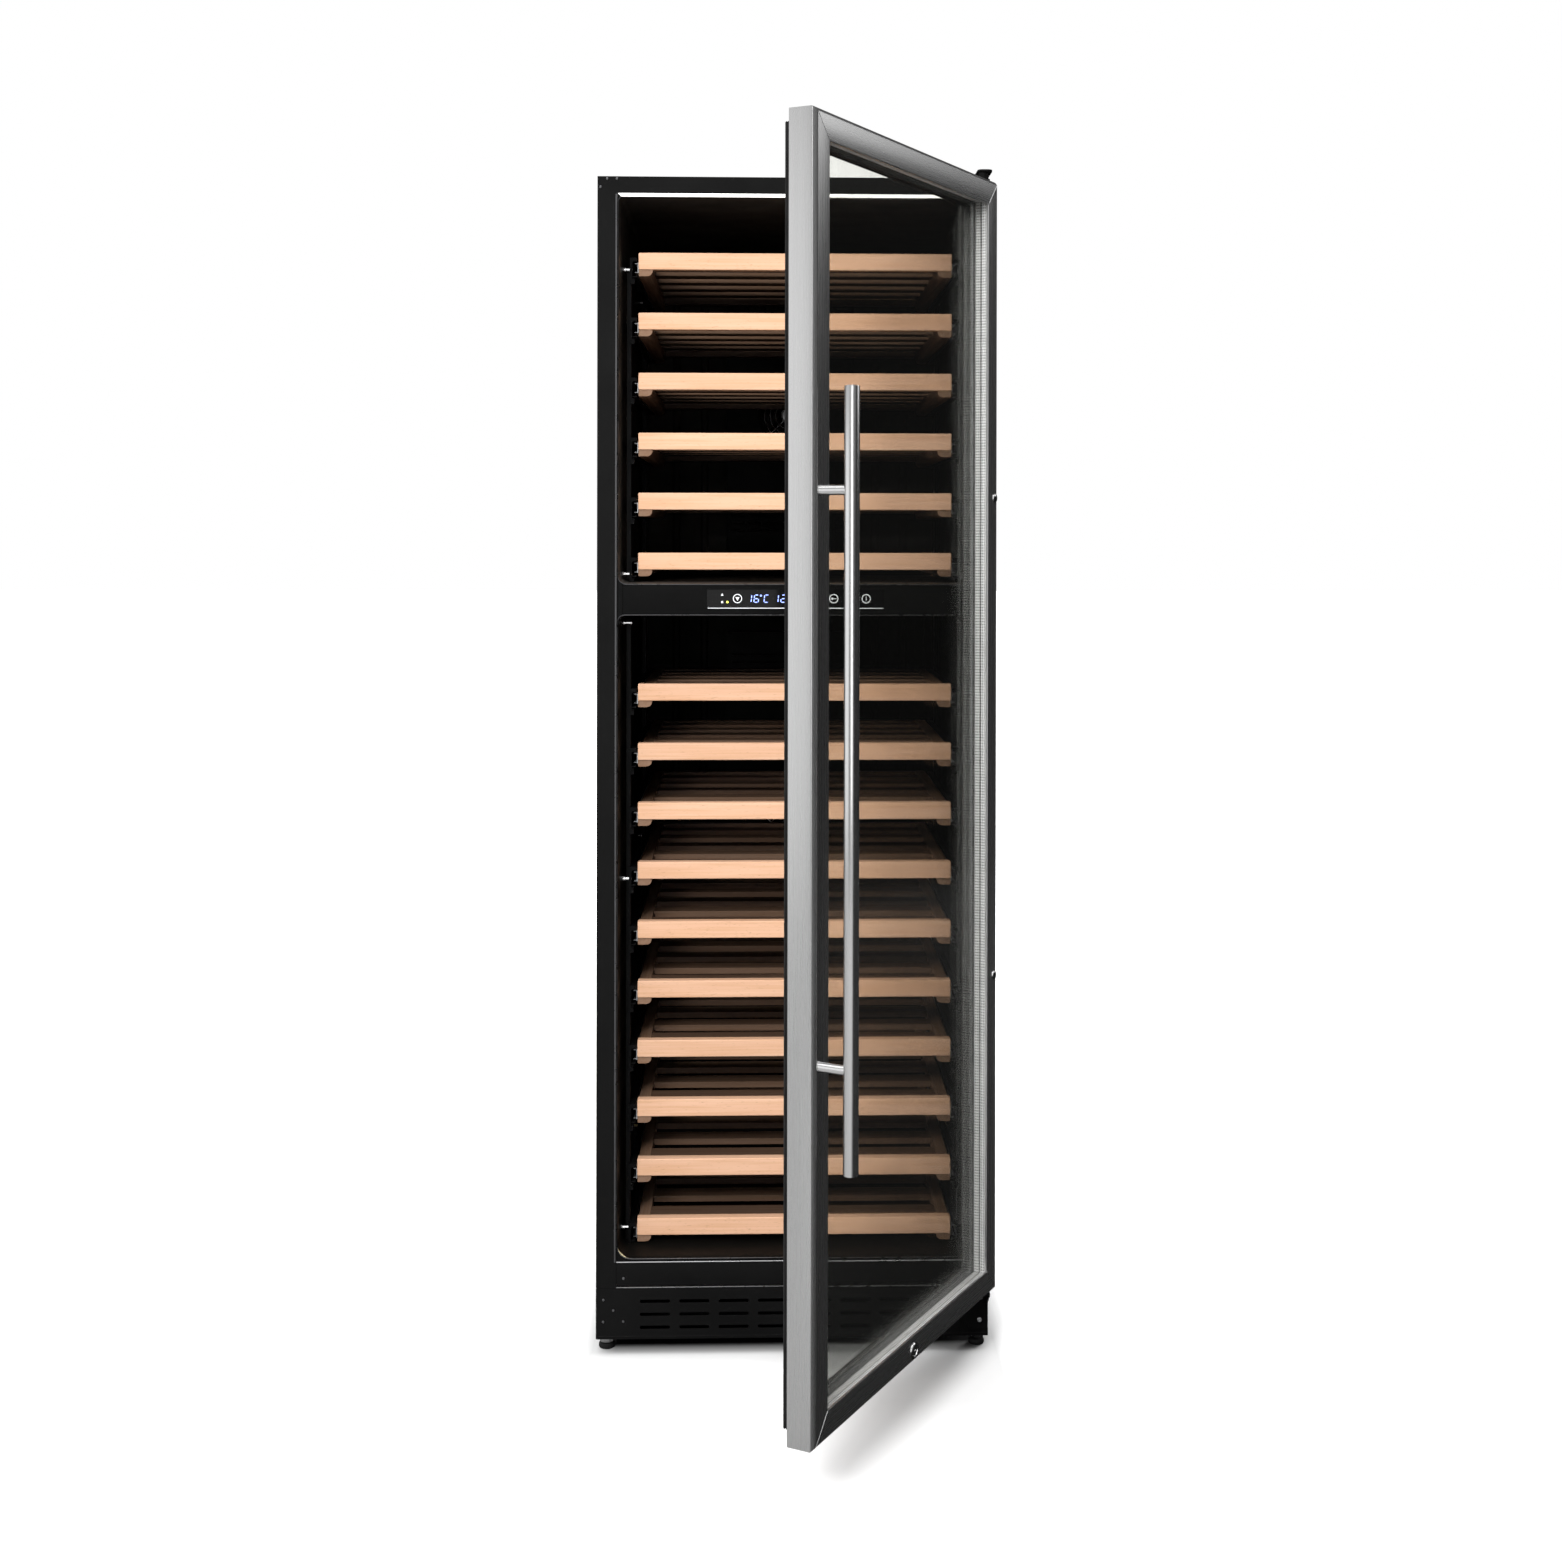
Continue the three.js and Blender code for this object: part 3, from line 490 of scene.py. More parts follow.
def clear_glass(name, tint):
    """A float glass pane. Shadow rays pass straight through, so that daylight reaches what is behind it."""
    made = Nodes(name, Transmission_Weight=1.0, IOR=1.42, Roughness=0.0)
    tone = made.ramp(made.noise(2.5, 2), [(0.3, tint), (0.7, tuple(c * 0.995 for c in tint))])
    made.link(tone, "Base Color")
    through = made.add("ShaderNodeBsdfTransparent", {"Color": (1, 1, 1, 1)})
    shadow = made.add("ShaderNodeLightPath").outputs["Is Shadow Ray"]
    both = made.add("ShaderNodeMixShader", {0: shadow, 1: made.shader.outputs[0], 2: through.outputs[0]})
    output = made.tree.nodes["Material Output"]
    made.tree.links.new(both.outputs[0], output.inputs["Surface"])
    return made.done("door_glass")


COAT = powder_coat()
MOULDED = moulded()
LININGS = {"upper_liner": moulded("upper_liner_black", 0.03, (0.42, 0.55), warmth=0.1),
           "lower_liner": moulded("lower_liner_black", 0.0035, (0.5, 0.62), warmth=0.1)}
STEEL_UP = brushed("steel_brushed_upright", 2)
STEEL_ACROSS = brushed("steel_brushed_across", 0)
STEEL_ROUND = brushed("steel_brushed_round", 2, 0.72, (0.2, 0.27))
CHROME = polished()
GLOSS = gloss_black()
RUBBER = rubber()
ZINC = bare_metal("zinc_plate", (0.56, 0.57, 0.58), (0.3, 0.5), "black_steel")
ALUMINIUM = bare_metal("mill_aluminium", (0.72, 0.73, 0.74), (0.3, 0.45), "aluminium")
COPPER = bare_metal("copper_tube", (0.75, 0.36, 0.2), (0.25, 0.42), "black_steel")
EDGING = bare_metal("anodised_edging", (0.14, 0.14, 0.145), (0.24, 0.36), "black_steel", 30.0)
# A lighter copy of the anodised edging: painted highlight for the bright lines along the sill.
SEAM_PAINTED_HIGHLIGHT = bare_metal("anodised_seam_painted_highlight", (0.42, 0.42, 0.43), (0.24, 0.36), "black_steel", 30.0)
SCREW = bare_metal("black_oxide_screw", (0.26, 0.26, 0.27), (0.3, 0.42), "black_steel", 60.0)
SPACER = perforated()
FOAM = foam()
GLASS = clear_glass("float_glass", (0.978, 0.98, 0.962))
# Painted highlight: an even glow standing in for the bright reflected line along the top of the opening.
HIGHLIGHT_GLOW = lit("painted_highlight_glow", (1.0, 0.98, 0.95), 1.2)
PRINT = lit("white_print", (0.8, 0.82, 0.85), 0.35)
DIGITS = lit("blue_digits", (0.30, 0.40, 1.0), 2.0)
YELLOW = lit("yellow_lamp", (0.85, 0.85, 0.12), 1.5)
BEECH_TONES = (0.94, 0.89, 0.92, 0.90, 0.93)


def beech_boards(name, grain, seed, share):
    """One finish for each tone, darkened to `share` of it. Below 1 this darkening is painted shade, standing
    in for the shade inside the cabinet.
    """
    return [beech(f"{name}_{index}", grain, index + seed, tone * share)
            for index, tone in enumerate(BEECH_TONES)]

BEECH_X = beech_boards("beech_along_x", 0, 1, 1.0)
# Side rails and slats: beech darkened to 0.32 and 0.15 of the front rails' tone, painted shade for the
# cabinet's shaded interior.
BEECH_Y_PAINTED_SHADE = beech_boards("beech_along_y_painted_shade", 1, 7, 0.32)
BEECH_SLATS_PAINTED_SHADE = beech_boards("beech_slats_painted_shade", 0, 13, 0.15)

# ---------------------------------------------------------------- cabinet casing
SHEET = 1.2
FLANGE = 8
THROAT = (1.35, 1.7)            # the plate behind the face frame that closes onto the liners, front to back
OPENING = extent("upper_liner")[0][1] + 0.7     # half width of the face frame's opening
SILL_LOW, SILL_TOP = 104.2, 140.5
SILL_INSET = 0.6                # the sill stands this far behind the face


def casing():
    (x0, x1), y, (z0, z1) = extent("outer_shell")
    fold = 3.0
    outline = rounded([
        (x0, z0, 0), (x0, z1, fold), (x1, z1, fold), (x1, z0, 0), (x1 - SHEET, z0, 0),
        (x1 - SHEET, z1 - SHEET, fold - SHEET), (x0 + SHEET, z1 - SHEET, fold - SHEET), (x0 + SHEET, z0, 0),
    ])
    piece("casing_sheet", Shape().prism("y", y, outline), COAT, bevel=0.3, stands_for=["outer_shell"])

    plugs = Shape()
    for x, depth in ((-284, 20), (-262, 20), (-240, 20), (-262, 48)):
        plugs.turned("z", [(4.6, z1), (4.6, z1 + 0.7), (3.6, z1 + 1.3), (1.2, z1 + 1.6)], (x, depth), 28)
    piece("spare_hinge_plugs", plugs, MOULDED)


def face_frame():
    (x0, x1), (y0, _), (z0, z1) = extent("front_frame")
    opening_top = z1 - 26.5
    sheet = Shape().prism("y", (y0, y0 + SHEET), [
        (x0, z0), (x0, z1), (x1, z1), (x1, z0), (OPENING, z0), (OPENING, opening_top),
        (-OPENING, opening_top), (-OPENING, z0)])
    returns = (y0 + SHEET - 0.1, y0 + FLANGE)
    for x in ((-OPENING - SHEET, -OPENING), (OPENING, OPENING + SHEET)):
        sheet.box(x, returns, (z0, opening_top))
    sheet.box((-OPENING, OPENING), returns, (opening_top, opening_top + SHEET))
    piece("face_frame_sheet", sheet, COAT, bevel=0.3, stands_for=["front_frame"])

    face, back = y0 + SILL_INSET, y0 + FLANGE
    sill = rounded([
        (face, SILL_LOW, 1), (face, SILL_TOP, 2), (back, SILL_TOP, 0), (back, SILL_TOP - SHEET, 0),
        (face + SHEET, SILL_TOP - SHEET, 1), (face + SHEET, SILL_LOW, 0)])
    piece("face_frame_sill", Shape().prism("x", (-OPENING + 0.2, OPENING - 0.2), sill), COAT, bevel=0.15)
    face_frame_trim(y0, opening_top)

    holes = [tub_outline(node, 1.4) for node in TUB_CORNERS]
    holes.append(rectangle((-BAR_NOSE, BAR_NOSE), extent("control_bar")[2]))
    throat = Shape().plate("y", THROAT, rectangle((x0 + 8, x1 - 8), (SILL_LOW + 4, z1 - 8)), holes)
    piece("throat_plate", throat, MOULDED)

    screws = Shape()
    for x, z in ((-280.3, 1766.4), (-265.8, 1766.4), (-290.4, 1753.8), (-253.7, 116.2)):
        screws.screw("y", y0 + (SILL_INSET if z < SILL_TOP else 0), -1, (x, z), 2.1)
    piece("face_frame_screws", screws, SCREW)


def face_frame_trim(y0, opening_top):
    """The beads down both sides of the opening, and the strips along the sill's top and bottom. These strips
    are a lighter copy of the beads' dark anodising: partly real trim, partly a painted highlight for the
    bright lines along the sill.
    """
    beads = Shape()
    bead = rounded([(0.2, y0 + 0.2, 0), (0.9, y0 - 0.8, 0.7), (2.9, y0 - 0.8, 0.9), (3.8, y0 + 0.2, 0)])
    for side in (-1, 1):
        start = (side * OPENING, 0, SILL_TOP)
        beads.bar(bead, opening_top - SILL_TOP, start, (side, 0, 0), (0, 0, 1), (0, 0))
    piece("face_frame_beads", beads, EDGING)

    seams = Shape()
    seams.prism("x", (-OPENING, OPENING), rounded([
        (y0 + 0.2, SILL_TOP - 0.9, 0), (y0 - 0.3, SILL_TOP - 0.2, 0.4), (y0 + 0.6, SILL_TOP + 0.7, 0.5),
        (y0 + 3, SILL_TOP + 0.7, 0), (y0 + 3, SILL_TOP - 0.9, 0)]))
    seams.prism("x", (-OPENING, OPENING), rounded([
        (y0 - 0.4, SILL_LOW - 2.4, 0.3), (y0 - 0.4, SILL_LOW - 1.2, 0.3), (y0 + 2, SILL_LOW - 1.2, 0),
        (y0 + 2, SILL_LOW - 2.4, 0)]))
    piece("face_frame_seams", seams, SEAM_PAINTED_HIGHLIGHT)


def highlight_strip():
    """A glowing strip tucked under the top of the face frame, mitred at both ends. Its glow is a painted
    highlight, standing in for the bright line that the top edge of the opening reflects.
    """
    top, drop = 1744.8, 4.8
    section = rounded([(0, -0.4, 0.3), (drop, -0.1, 0.8), (drop, 2.2, 0), (0, 2.2, 0)])
    strip = Shape().bar(section, 2 * OPENING, (-OPENING, 0, top), (0, 0, -1), (1, 0, 0))
    piece("painted_highlight_strip", strip, HIGHLIGHT_GLOW)


def kick_slots(length, height):
    """The kick plate's vent slots, in eight columns and three rows."""
    pitch, middle, rise = 59, 62, 19.5
    return [slot_outline((column - 3.5) * pitch, middle + row * rise, length, height)
            for column in range(8) for row in (-1, 0, 1)]


def kick_plate():
    x, (y0, _), (z0, z1) = extent("kick_plate")
    plate = Shape().plate("y", (y0, y0 + SHEET), rectangle(x, (z0, z1), 1.2, 3), kick_slots(45, 5))
    for span in ((z1 - SHEET, z1 - 0.02), (z0 + 0.02, z0 + SHEET)):
        plate.box(widened(x, -1), (y0 + 0.2, y0 + FLANGE), span)
    piece("kick_plate_sheet", plate, COAT, bevel=0.35, stands_for=["kick_plate"])

    crease = rounded([(y0 + 0.2, z0 + 2.6, 0), (y0 - 0.35, z0 + 3.4, 0.3), (y0 - 0.35, z0 + 4.2, 0.3),
                      (y0 + 0.2, z0 + 5, 0)])
    piece("kick_plate_crease", Shape().prism("x", widened(x, -1.5), crease), COAT)

    screws = Shape()
    for place in ((-283.7, 84.4), (-268.8, 68.5), (-284.1, 51.4), (-253.9, 51.8)):
        screws.screw("y", y0, -1, place, 1.9)
    piece("kick_plate_screws", screws, SCREW)


def base_pan():
    x, y, (z0, _) = extent("base_pan")
    (x0, x1), (y0, y1) = x, y
    wall, rim = 2, 99.6
    floor = z0 + wall
    holes = [circle(foot_centre(name), 4.6, 20) for name in FEET]
    pan = Shape().plate("z", (z0, floor), rectangle(x, y, 3), holes)
    pan.plate("y", (y0, y0 + wall), rectangle(x, (floor, rim), 1, 2), kick_slots(48, 9))
    pan.box(x, (y1 - wall, y1), (floor, rim + 2))
    for span in ((x0, x0 + wall), (x1 - wall, x1)):
        pan.box(span, (y0 + wall, y1 - wall), (floor, rim + 2))
    for depth in (120, 260, 400, 470):
        rib = [(depth - 9, floor, 0), (depth - 5, floor + 3, 2), (depth + 5, floor + 3, 2),
               (depth + 9, floor, 0)]
        pan.prism("x", widened(x, -60), rounded(rib))
    piece("base_tray", pan, COAT, bevel=0.5, stands_for=["base_pan"])


FEET = [f"foot_{row}_{side}" for row in ("front", "rear") for side in ("left", "right")]


def foot_centre(name):
    x, y, _ = extent(name)
    return (sum(x) / 2, sum(y) / 2)


def feet():
    sole = [(9.2, 0), (11.2, 0.8), (12, 2.6), (12, 6.2), (11.2, 8.2), (9, 9.4)]
    cup = [(9, 9.5), (10.4, 10.2), (10.8, 12), (10.8, 19.5), (10.2, 20.8), (8.6, 21.2)]
    thread = [(4, 21)]
    for turn in range(14):
        thread += [(4, 22 + turn * 1.5), (3.3, 22.75 + turn * 1.5)]
    thread += [(4, 43), (3.2, 44)]
    for name in FEET:
        centre = foot_centre(name)
        pad = Shape().turned("z", sole, centre, 48)
        piece(f"{name}_pad", pad, RUBBER, name, stands_for=[name])
        collar = Shape().turned("z", cup, centre, 48)
        for grip in range(10):
            collar.rod("z", (11.5, 19.5), 1.1, polar(centre, 10.6, grip * math.pi / 5), 8)
        piece(f"{name}_collar", collar, CHROME, name)
        piece(f"{name}_stem", Shape().turned("z", thread, centre, 24), ZINC, name)


def back_panel():
    x, (y0, y1), z = extent("back_panel")
    slots = [slot_outline(column * 68, 68 + row * 34, 50, 8) for column in range(-3, 4) for row in range(4)]
    panel = Shape().plate("y", (y0, y1), rectangle(x, z, 4), slots)
    rib = [(0, y1 - 0.2), (3, y1 + 1.1), (7, y1 + 1.1), (10, y1 - 0.2)]
    for span in ((260, 700), (760, 1200), (1260, 1700)):
        panel.moulding(lambda grow, span=span: rectangle(
            widened((-230, 230), grow), widened(span, grow), 20 + grow), rib)
    piece("rear_cover", panel, COAT, bevel=0.3, stands_for=["back_panel"])

    screws = Shape()
    edge = 8
    for row in range(7):
        level = z[0] + 14 + row * (z[1] - z[0] - 28) / 6
        for side in widened(x, -edge):
            screws.screw("y", y1, 1, (side, level), 3.2)
    for across in (-200, -70, 70, 200):
        for level in widened(z, -edge):
            screws.screw("y", y1, 1, (across, level), 3.2)
    piece("rear_cover_screws", screws, ZINC)


# ---------------------------------------------------------------- liners
TUB_WALL = 1.8
STEP_FRONT = 380                # the lower compartment's floor steps up here
TUB_CORNERS = {"upper_liner": 14, "lower_liner": 22}


def tub_outline(node, grow):
    """A liner's mouth seen from the front, grown outwards from its inner walls."""
    x, _, z = extent(node)
    (left, right), (bottom, top) = widened(x, grow - TUB_WALL), widened(z, grow - TUB_WALL)
    low_corner = TUB_CORNERS[node] + grow
    return rounded([(left, bottom, low_corner), (right, bottom, low_corner),
                    (right, top, 10 + grow), (left, top, 10 + grow)], 6)


def liners():
    for node in TUB_CORNERS:
        mouth = partial(tub_outline, node)
        _, (y0, y1), (low, high) = extent(node)
        back = y1 - TUB_WALL
        section = [(0, back), (0, y0 + 13), (0.3, y0 + 7), (1.0, y0 + 2.6), (1.9, y0 + 0.5), (2.4, y0 + 0.2),
                   (2.4, y0 + 3), (1.8, y0 + 12), (1.8, back)]
        tub = Shape().moulding(mouth, section)
        tub.prism("y", (back - 0.1, y1), mouth(TUB_WALL))
        for x in (-200, -150, 150, 200):
            tub.prism("z", (max(low, 240) + 20, high - 20), rounded([
                (x - 7, back, 0), (x - 4, back - 2.5, 2), (x + 4, back - 2.5, 2), (x + 7, back, 0)]))
        piece(f"{node}_tub", tub, LININGS[node], stands_for=[node])
        lip = [(1.5, y0 + 0.6), (1.5, THROAT[0]), (2.1, THROAT[0] - 0.2), (2.7, THROAT[0]), (2.7, y0 + 0.5)]
        piece(f"{node}_rim", Shape().moulding(mouth, lip), EDGING)

    x, _, (low, _) = extent("lower_liner")
    top = 235
    step = Shape().prism("x", widened(x, -TUB_WALL - 0.2), rounded([
        (STEP_FRONT, low + 2, 0), (back, low + 2, 0), (back, top, 0), (STEP_FRONT, top, 14)], 6))
    piece("lower_liner_step", step, LININGS["lower_liner"], bevel=0.4)


# ---------------------------------------------------------------- control bar and display
BAR_NOSE = 257


def control_bar():
    x, (y0, y1), (z0, z1) = extent("control_bar")
    window_x, _, window_z = extent("display_window")
    nose = (-BAR_NOSE, BAR_NOSE)
    body = Shape().prism("x", nose, rounded([(y0, z0, 2.2), (y0, z1, 1.6), (12, z1, 0), (12, z0, 0)]))
    body.prism("x", x, rounded([(y0 + 3, z0, 2), (y0 + 3, z1, 2), (y1, z1, 2), (y1, z0, 2)]))
    piece("control_bar_moulding", body, MOULDED, bevel=0.3, stands_for=["control_bar"])

    edge = Shape().prism("x", widened(nose, -0.6), rounded([
        (y0 + 0.3, z1 - 0.5, 0), (y0 + 1.2, z1 + 0.9, 0.6), (y0 + 5, z1 + 0.9, 0), (y0 + 5, z1 - 0.5, 0)]))
    piece("control_bar_edge_strip", edge, ZINC)

    outer, inner, face = ([widened(window_x, by), widened(window_z, by)] for by in (1.2, -1, -0.6))
    rim = [(0, y0 + 0.5), (0, y0 - 0.6), (0.5, y0 - 1), (1, y0 - 0.6), (1, y0 + 0.5)]
    piece("display_bezel", Shape().band(outer, inner, rim), MOULDED)
    pane = Shape().prism("y", (y0 - 0.7, y0 + 0.4), rectangle(*face, 1.5))
    piece("display_pane", pane, GLOSS, bevel=0.25, stands_for=["display_window"])
    display_marks(y0 - 0.7, window_x, window_z)


SEGMENTS = {"1": "bc", "2": "abged", "6": "afgedc", "C": "afed"}
MARK = 0.12                     # how far a printed or lit mark stands off the pane


def segment(start, stop, half):
    """A bar with pointed ends, as (along, across) points."""
    return [(start, 0), (start + half, -half), (stop - half, -half), (stop, 0), (stop - half, half),
            (start + half, half)]


def digit(shape, character, x, z, face):
    """One seven-segment character, slanted a little as such displays are."""
    height, width, thick, gap, lean = 11.0, 6.6, 1.3, 0.35, 0.1
    half = height / 2
    across = {"a": height, "g": half, "d": 0}
    upright = {"f": (0, half), "b": (width, half), "e": (0, 0), "c": (width, 0)}
    for name in SEGMENTS[character]:
        if name in across:
            bar = segment(gap + thick / 2, width - gap - thick / 2, thick / 2)
            corners = [(u, across[name] + v) for u, v in bar]
        else:
            side, low = upright[name]
            corners = [(side + v, u) for u, v in segment(low + gap, low + half - gap, thick / 2)]
        shape.prism("y", (face - MARK, face), [(x + u + lean * v, z + v) for u, v in corners])


def display_marks(face, window_x, window_z):
    """The printed touch symbols and the lit readings, a hair in front of the pane."""
    ink = (face - MARK, face)
    digits = Shape()
    for shift, reading in ((0, "16C"), (40.4, "12C")):
        for start, character in zip((-70.6, -59.8, -44.6), reading):
            digit(digits, character, start + shift, 1131.2, face)
        degree = (-49.2 + shift, 1141.2)
        digits.plate("y", ink, circle(degree, 1.5, 16), [circle(degree, 0.7, 16)])
    piece("display_readings", digits, DIGITS)

    marks = Shape()
    marks.box(widened(window_x, -2), ink, (window_z[0] + 0.9, window_z[0] + 1.9))
    ring_level, lamp_level = 1136.8, 1131.5
    for x in (-84.4, 54.7, 103.4):
        marks.plate("y", ink, circle((x, ring_level), 6.9, 40), [circle((x, ring_level), 5.7, 40)])
    marks.prism("y", ink, [(-87.6, 1139), (-81.2, 1139), (-84.4, 1133.4)])
    marks.prism("y", ink, [(-109.4, 1141), (-105.4, 1141), (-107.4, 1145)])
    marks.prism("y", ink, circle((-107.4, lamp_level), 1.7, 20))
    marks.box((102.9, 103.9), ink, (1134, 1139.8))
    marks.prism("y", ink, circle((52.6, ring_level), 1.6, 20))
    marks.box((54.6, 58.8), ink, (1136.4, 1137.2))
    piece("display_symbols", marks, PRINT)

    lamp = Shape().prism("y", (face - 0.25, face), circle((-99.5, lamp_level), 1.7, 20))
    piece("display_lamp", lamp, YELLOW)


# ---------------------------------------------------------------- shelves
SHELF_COUNTS = {"upper": 6, "lower": 10}
SHELF_NODES = [f"shelf_{zone}_{index:02d}"
               for zone, count in SHELF_COUNTS.items() for index in range(1, count + 1)]
RAIL = 18                       # how thick the rails are
RAIL_FOOT = -26                 # heights on a shelf are taken from its top
SIDE_TOP = -9
SLAT_FOOT = -19
FIRST_SLAT, SLAT_WIDTH, SLAT_PITCH = 45, 38, 84


def shelves():
    boards = len(BEECH_TONES)
    for number, node in enumerate(SHELF_NODES):
        (x0, x1), (y0, y1), (z0, z1) = extent(node)
        place = CABINET @ Matrix.Translation((0, 0, z1 * MM))
        drop = z0 - z1
        inner = x1 - RAIL

        rail = Shape().box((x0, x1), (y0, y0 + RAIL), (RAIL_FOOT, 0))
        finish = BEECH_X[number * 3 % boards]
        piece(f"{node}_front_rail", rail, finish, node, place, bevel=1.6, steps=3, stands_for=[node])

        slats = Shape().box((-inner, inner), (y1 - RAIL, y1), (RAIL_FOOT, SIDE_TOP))
        y = y0 + FIRST_SLAT
        while y + SLAT_WIDTH < y1 - RAIL:
            slats.box((-inner, inner), (y, y + SLAT_WIDTH), (SLAT_FOOT, SIDE_TOP))
            y += SLAT_PITCH
        piece(f"{node}_slats", slats, BEECH_SLATS_PAINTED_SHADE[(number + 1) % boards], node, place, bevel=1.2, steps=3)

        sides = Shape()
        for outer, inside, way in ((x0, -inner, -1), (x1, inner, 1)):
            outline = [(inside, drop, 9), (outer, drop, 0.8), (outer, SIDE_TOP, 1), (inside, SIDE_TOP, 1)]
            sides.prism("y", (y0 + RAIL, y1), rounded(outline, 5))
            near, far = inside - way * 3.5, outer - way * 0.4
            end = [(near, drop, 9.5), (far, drop, 1), (far, RAIL_FOOT - 0.2, 0), (near, RAIL_FOOT - 0.2, 0)]
            sides.prism("y", (y0 + 2.5, y0 + RAIL), rounded(end, 5))
        piece(f"{node}_side_rails", sides, BEECH_Y_PAINTED_SHADE[number * 2 % boards], node, place, bevel=0.4)
        slides(node, place, x1, y0, y1)


def slides(node, place, x1, y0, y1):
    """The moving members of a shelf's two telescopic slides."""
    members = Shape()
    for side in (-1, 1):
        web, lip, rivet = (sorted((side * (x1 + near), side * (x1 + far)))
                           for near, far in ((0.2, 1.6), (1.5, 6), (1.2, 2.4)))
        members.box(web, (y0 + 4, y1 - 2), (-31, -15))
        for level in (-30.2, -16.6):
            members.box(lip, (y0 + 6, y1 - 4), (level, level + 0.8))
        for depth in (y0 + 30, y0 + 150, y1 - 60):
            members.rod("x", rivet, 2.6, (depth, -23), 16)
    piece(f"{node}_slides", members, ZINC, node, place, bevel=0.2)


# ---------------------------------------------------------------- racks
PEG_LEVELS = {"upper": (1638, 1172), "lower": (1098, 706, 172)}
STEP_CLEAR = 245                # rear posts and pegs stay above the lower floor's step
# Outlines on the right-hand side, from the cabinet's middle and the shelf's top.
RUNNER = ((240, -9), (248.5, -9), (248.5, -37), (240, -37), (240, -34.6), (241.3, -34.6), (241.3, -35.7),
          (247.2, -35.7), (247.2, -10.3), (241.3, -10.3), (241.3, -11.4), (240, -11.4))
CLIP = ((239.6, -7.5, 1.5), (250.5, -7.5, 1.5), (250.5, -48, 3), (243, -48, 1.5), (243, -43, 1),
        (246.6, -41, 2), (246.6, -14, 2), (242.6, -12.4, 1), (239.6, -14, 1))
PEG = ((2.6, 246), (3.4, 246.6), (3.4, 248.2), (2.9, 248.6), (2.9, 255.6), (4.4, 256), (4.4, 261.7))


def racks():
    for zone in SHELF_COUNTS:
        for side, name in ((-1, "left"), (1, "right")):
            rack(zone, f"rack_{zone}_{name}", side)


def rack(zone, node, side):
    _, y, (z0, _) = extent(node)

    def across(near, far):
        return sorted((side * near, side * far))

    posts = Shape()
    post_top = PEG_LEVELS[zone][0] + 5
    for y0 in (y[0] + 4, y[0] + 418):
        bottom = max(z0, STEP_CLEAR) if y0 > STEP_FRONT else z0
        slots = []
        height = bottom + 20
        while height < post_top - 20:
            slots.append(slot_outline(y0 + 12, height, 4, 12))
            height += 30.3
        posts.plate("x", across(248.6, 250.4), rectangle((y0, y0 + 24), (bottom, post_top), 2), slots)
        for edge in (y0, y0 + 22.4):
            posts.box(across(250.3, 255), (edge, edge + 1.6), (bottom + 1, post_top - 1))
    piece(f"{node}_posts", posts, COAT, bevel=0.25, stands_for=[node])

    runners = Shape()
    clips = Shape()
    for index in range(1, SHELF_COUNTS[zone] + 1):
        _, (front, back), (_, top) = extent(f"shelf_{zone}_{index:02d}")
        runners.prism("y", (front + 5, min(back - 10, y[1])), [(side * x, top + z) for x, z in RUNNER])
        clips.prism("y", (front + 1.5, front + 6), [(side * x, top + z) for x, z in rounded(CLIP, 3)])
        clips.box(across(243.4, 251), (front + 6, front + 16), (top - 46, top - 39))
        clips.screw("y", front + 1.5, -1, (side * 248.6, top - 27), 1.3)
    piece(f"{node}_runners", runners, COAT, bevel=0.2)
    piece(f"{node}_clips", clips, MOULDED, bevel=0.35)

    pegs = Shape()
    for height in PEG_LEVELS[zone]:
        for depth in (y[0], y[0] + 430):
            if depth < STEP_FRONT or height > STEP_CLEAR:
                pegs.turned("x", [(radius, side * x) for radius, x in PEG], (depth, height), 24)
    piece(f"{node}_pegs", pegs, CHROME)


# ---------------------------------------------------------------- air ducts and fans
def ducts():
    for zone in ("upper", "lower"):
        x, (y0, y1), z = extent(f"{zone}_air_duct")
        fan_x, fan_y, fan_z = extent(f"{zone}_fan_rotor")
        centre = (sum(fan_x) / 2, sum(fan_z) / 2)
        wheel = (fan_x[1] - fan_x[0]) / 2
        radius = wheel + 5
        vents = []
        for edge, way in ((z[0], 1), (z[1], -1)):
            vents += [slot_outline(column * 30, edge + way * (40 + row * 14), 22, 5)
                      for column in range(-3, 4) for row in range(3)]
        cover = Shape().plate("y", (y0, y0 + 2.5), rectangle(x, z, 8), [circle(centre, radius, 48), *vents])
        cover.moulding(lambda grow, x=x, z=z: rectangle(widened(x, grow), widened(z, grow), 8), [
            (-0.1, y0 + 1), (-0.1, y1), (-2.2, y1), (-2.2, y0 + 1)])
        cover.hoop("y", [(radius, y0 + 0.3), (radius + 3, y0 - 1), (radius + 6, y0 + 0.3)], centre, 64)
        piece(f"{zone}_duct_cover", cover, MOULDED, bevel=0.4, stands_for=[f"{zone}_air_duct"])

        grille = Shape()
        for ring in (14, 24, 34, 44):
            grille.hoop("y", circle((ring, y0 - 1.2), 0.9, 8), centre, 48)
        for spoke in range(4):
            angle = math.pi / 4 + spoke * math.pi / 2
            grille.pipe([spot("y", y0 - 0.6, *polar(centre, r, angle)) for r in (10, radius + 3)], 1.1, 8)
        grille.turned("y", [(12, y0 - 1.8), (12.5, y0 - 0.8), (11, y0 + 0.4)], centre, 32)
        piece(f"{zone}_fan_grille", grille, ZINC)
        rotor(f"{zone}_fan", "y", centre, fan_y, wheel)


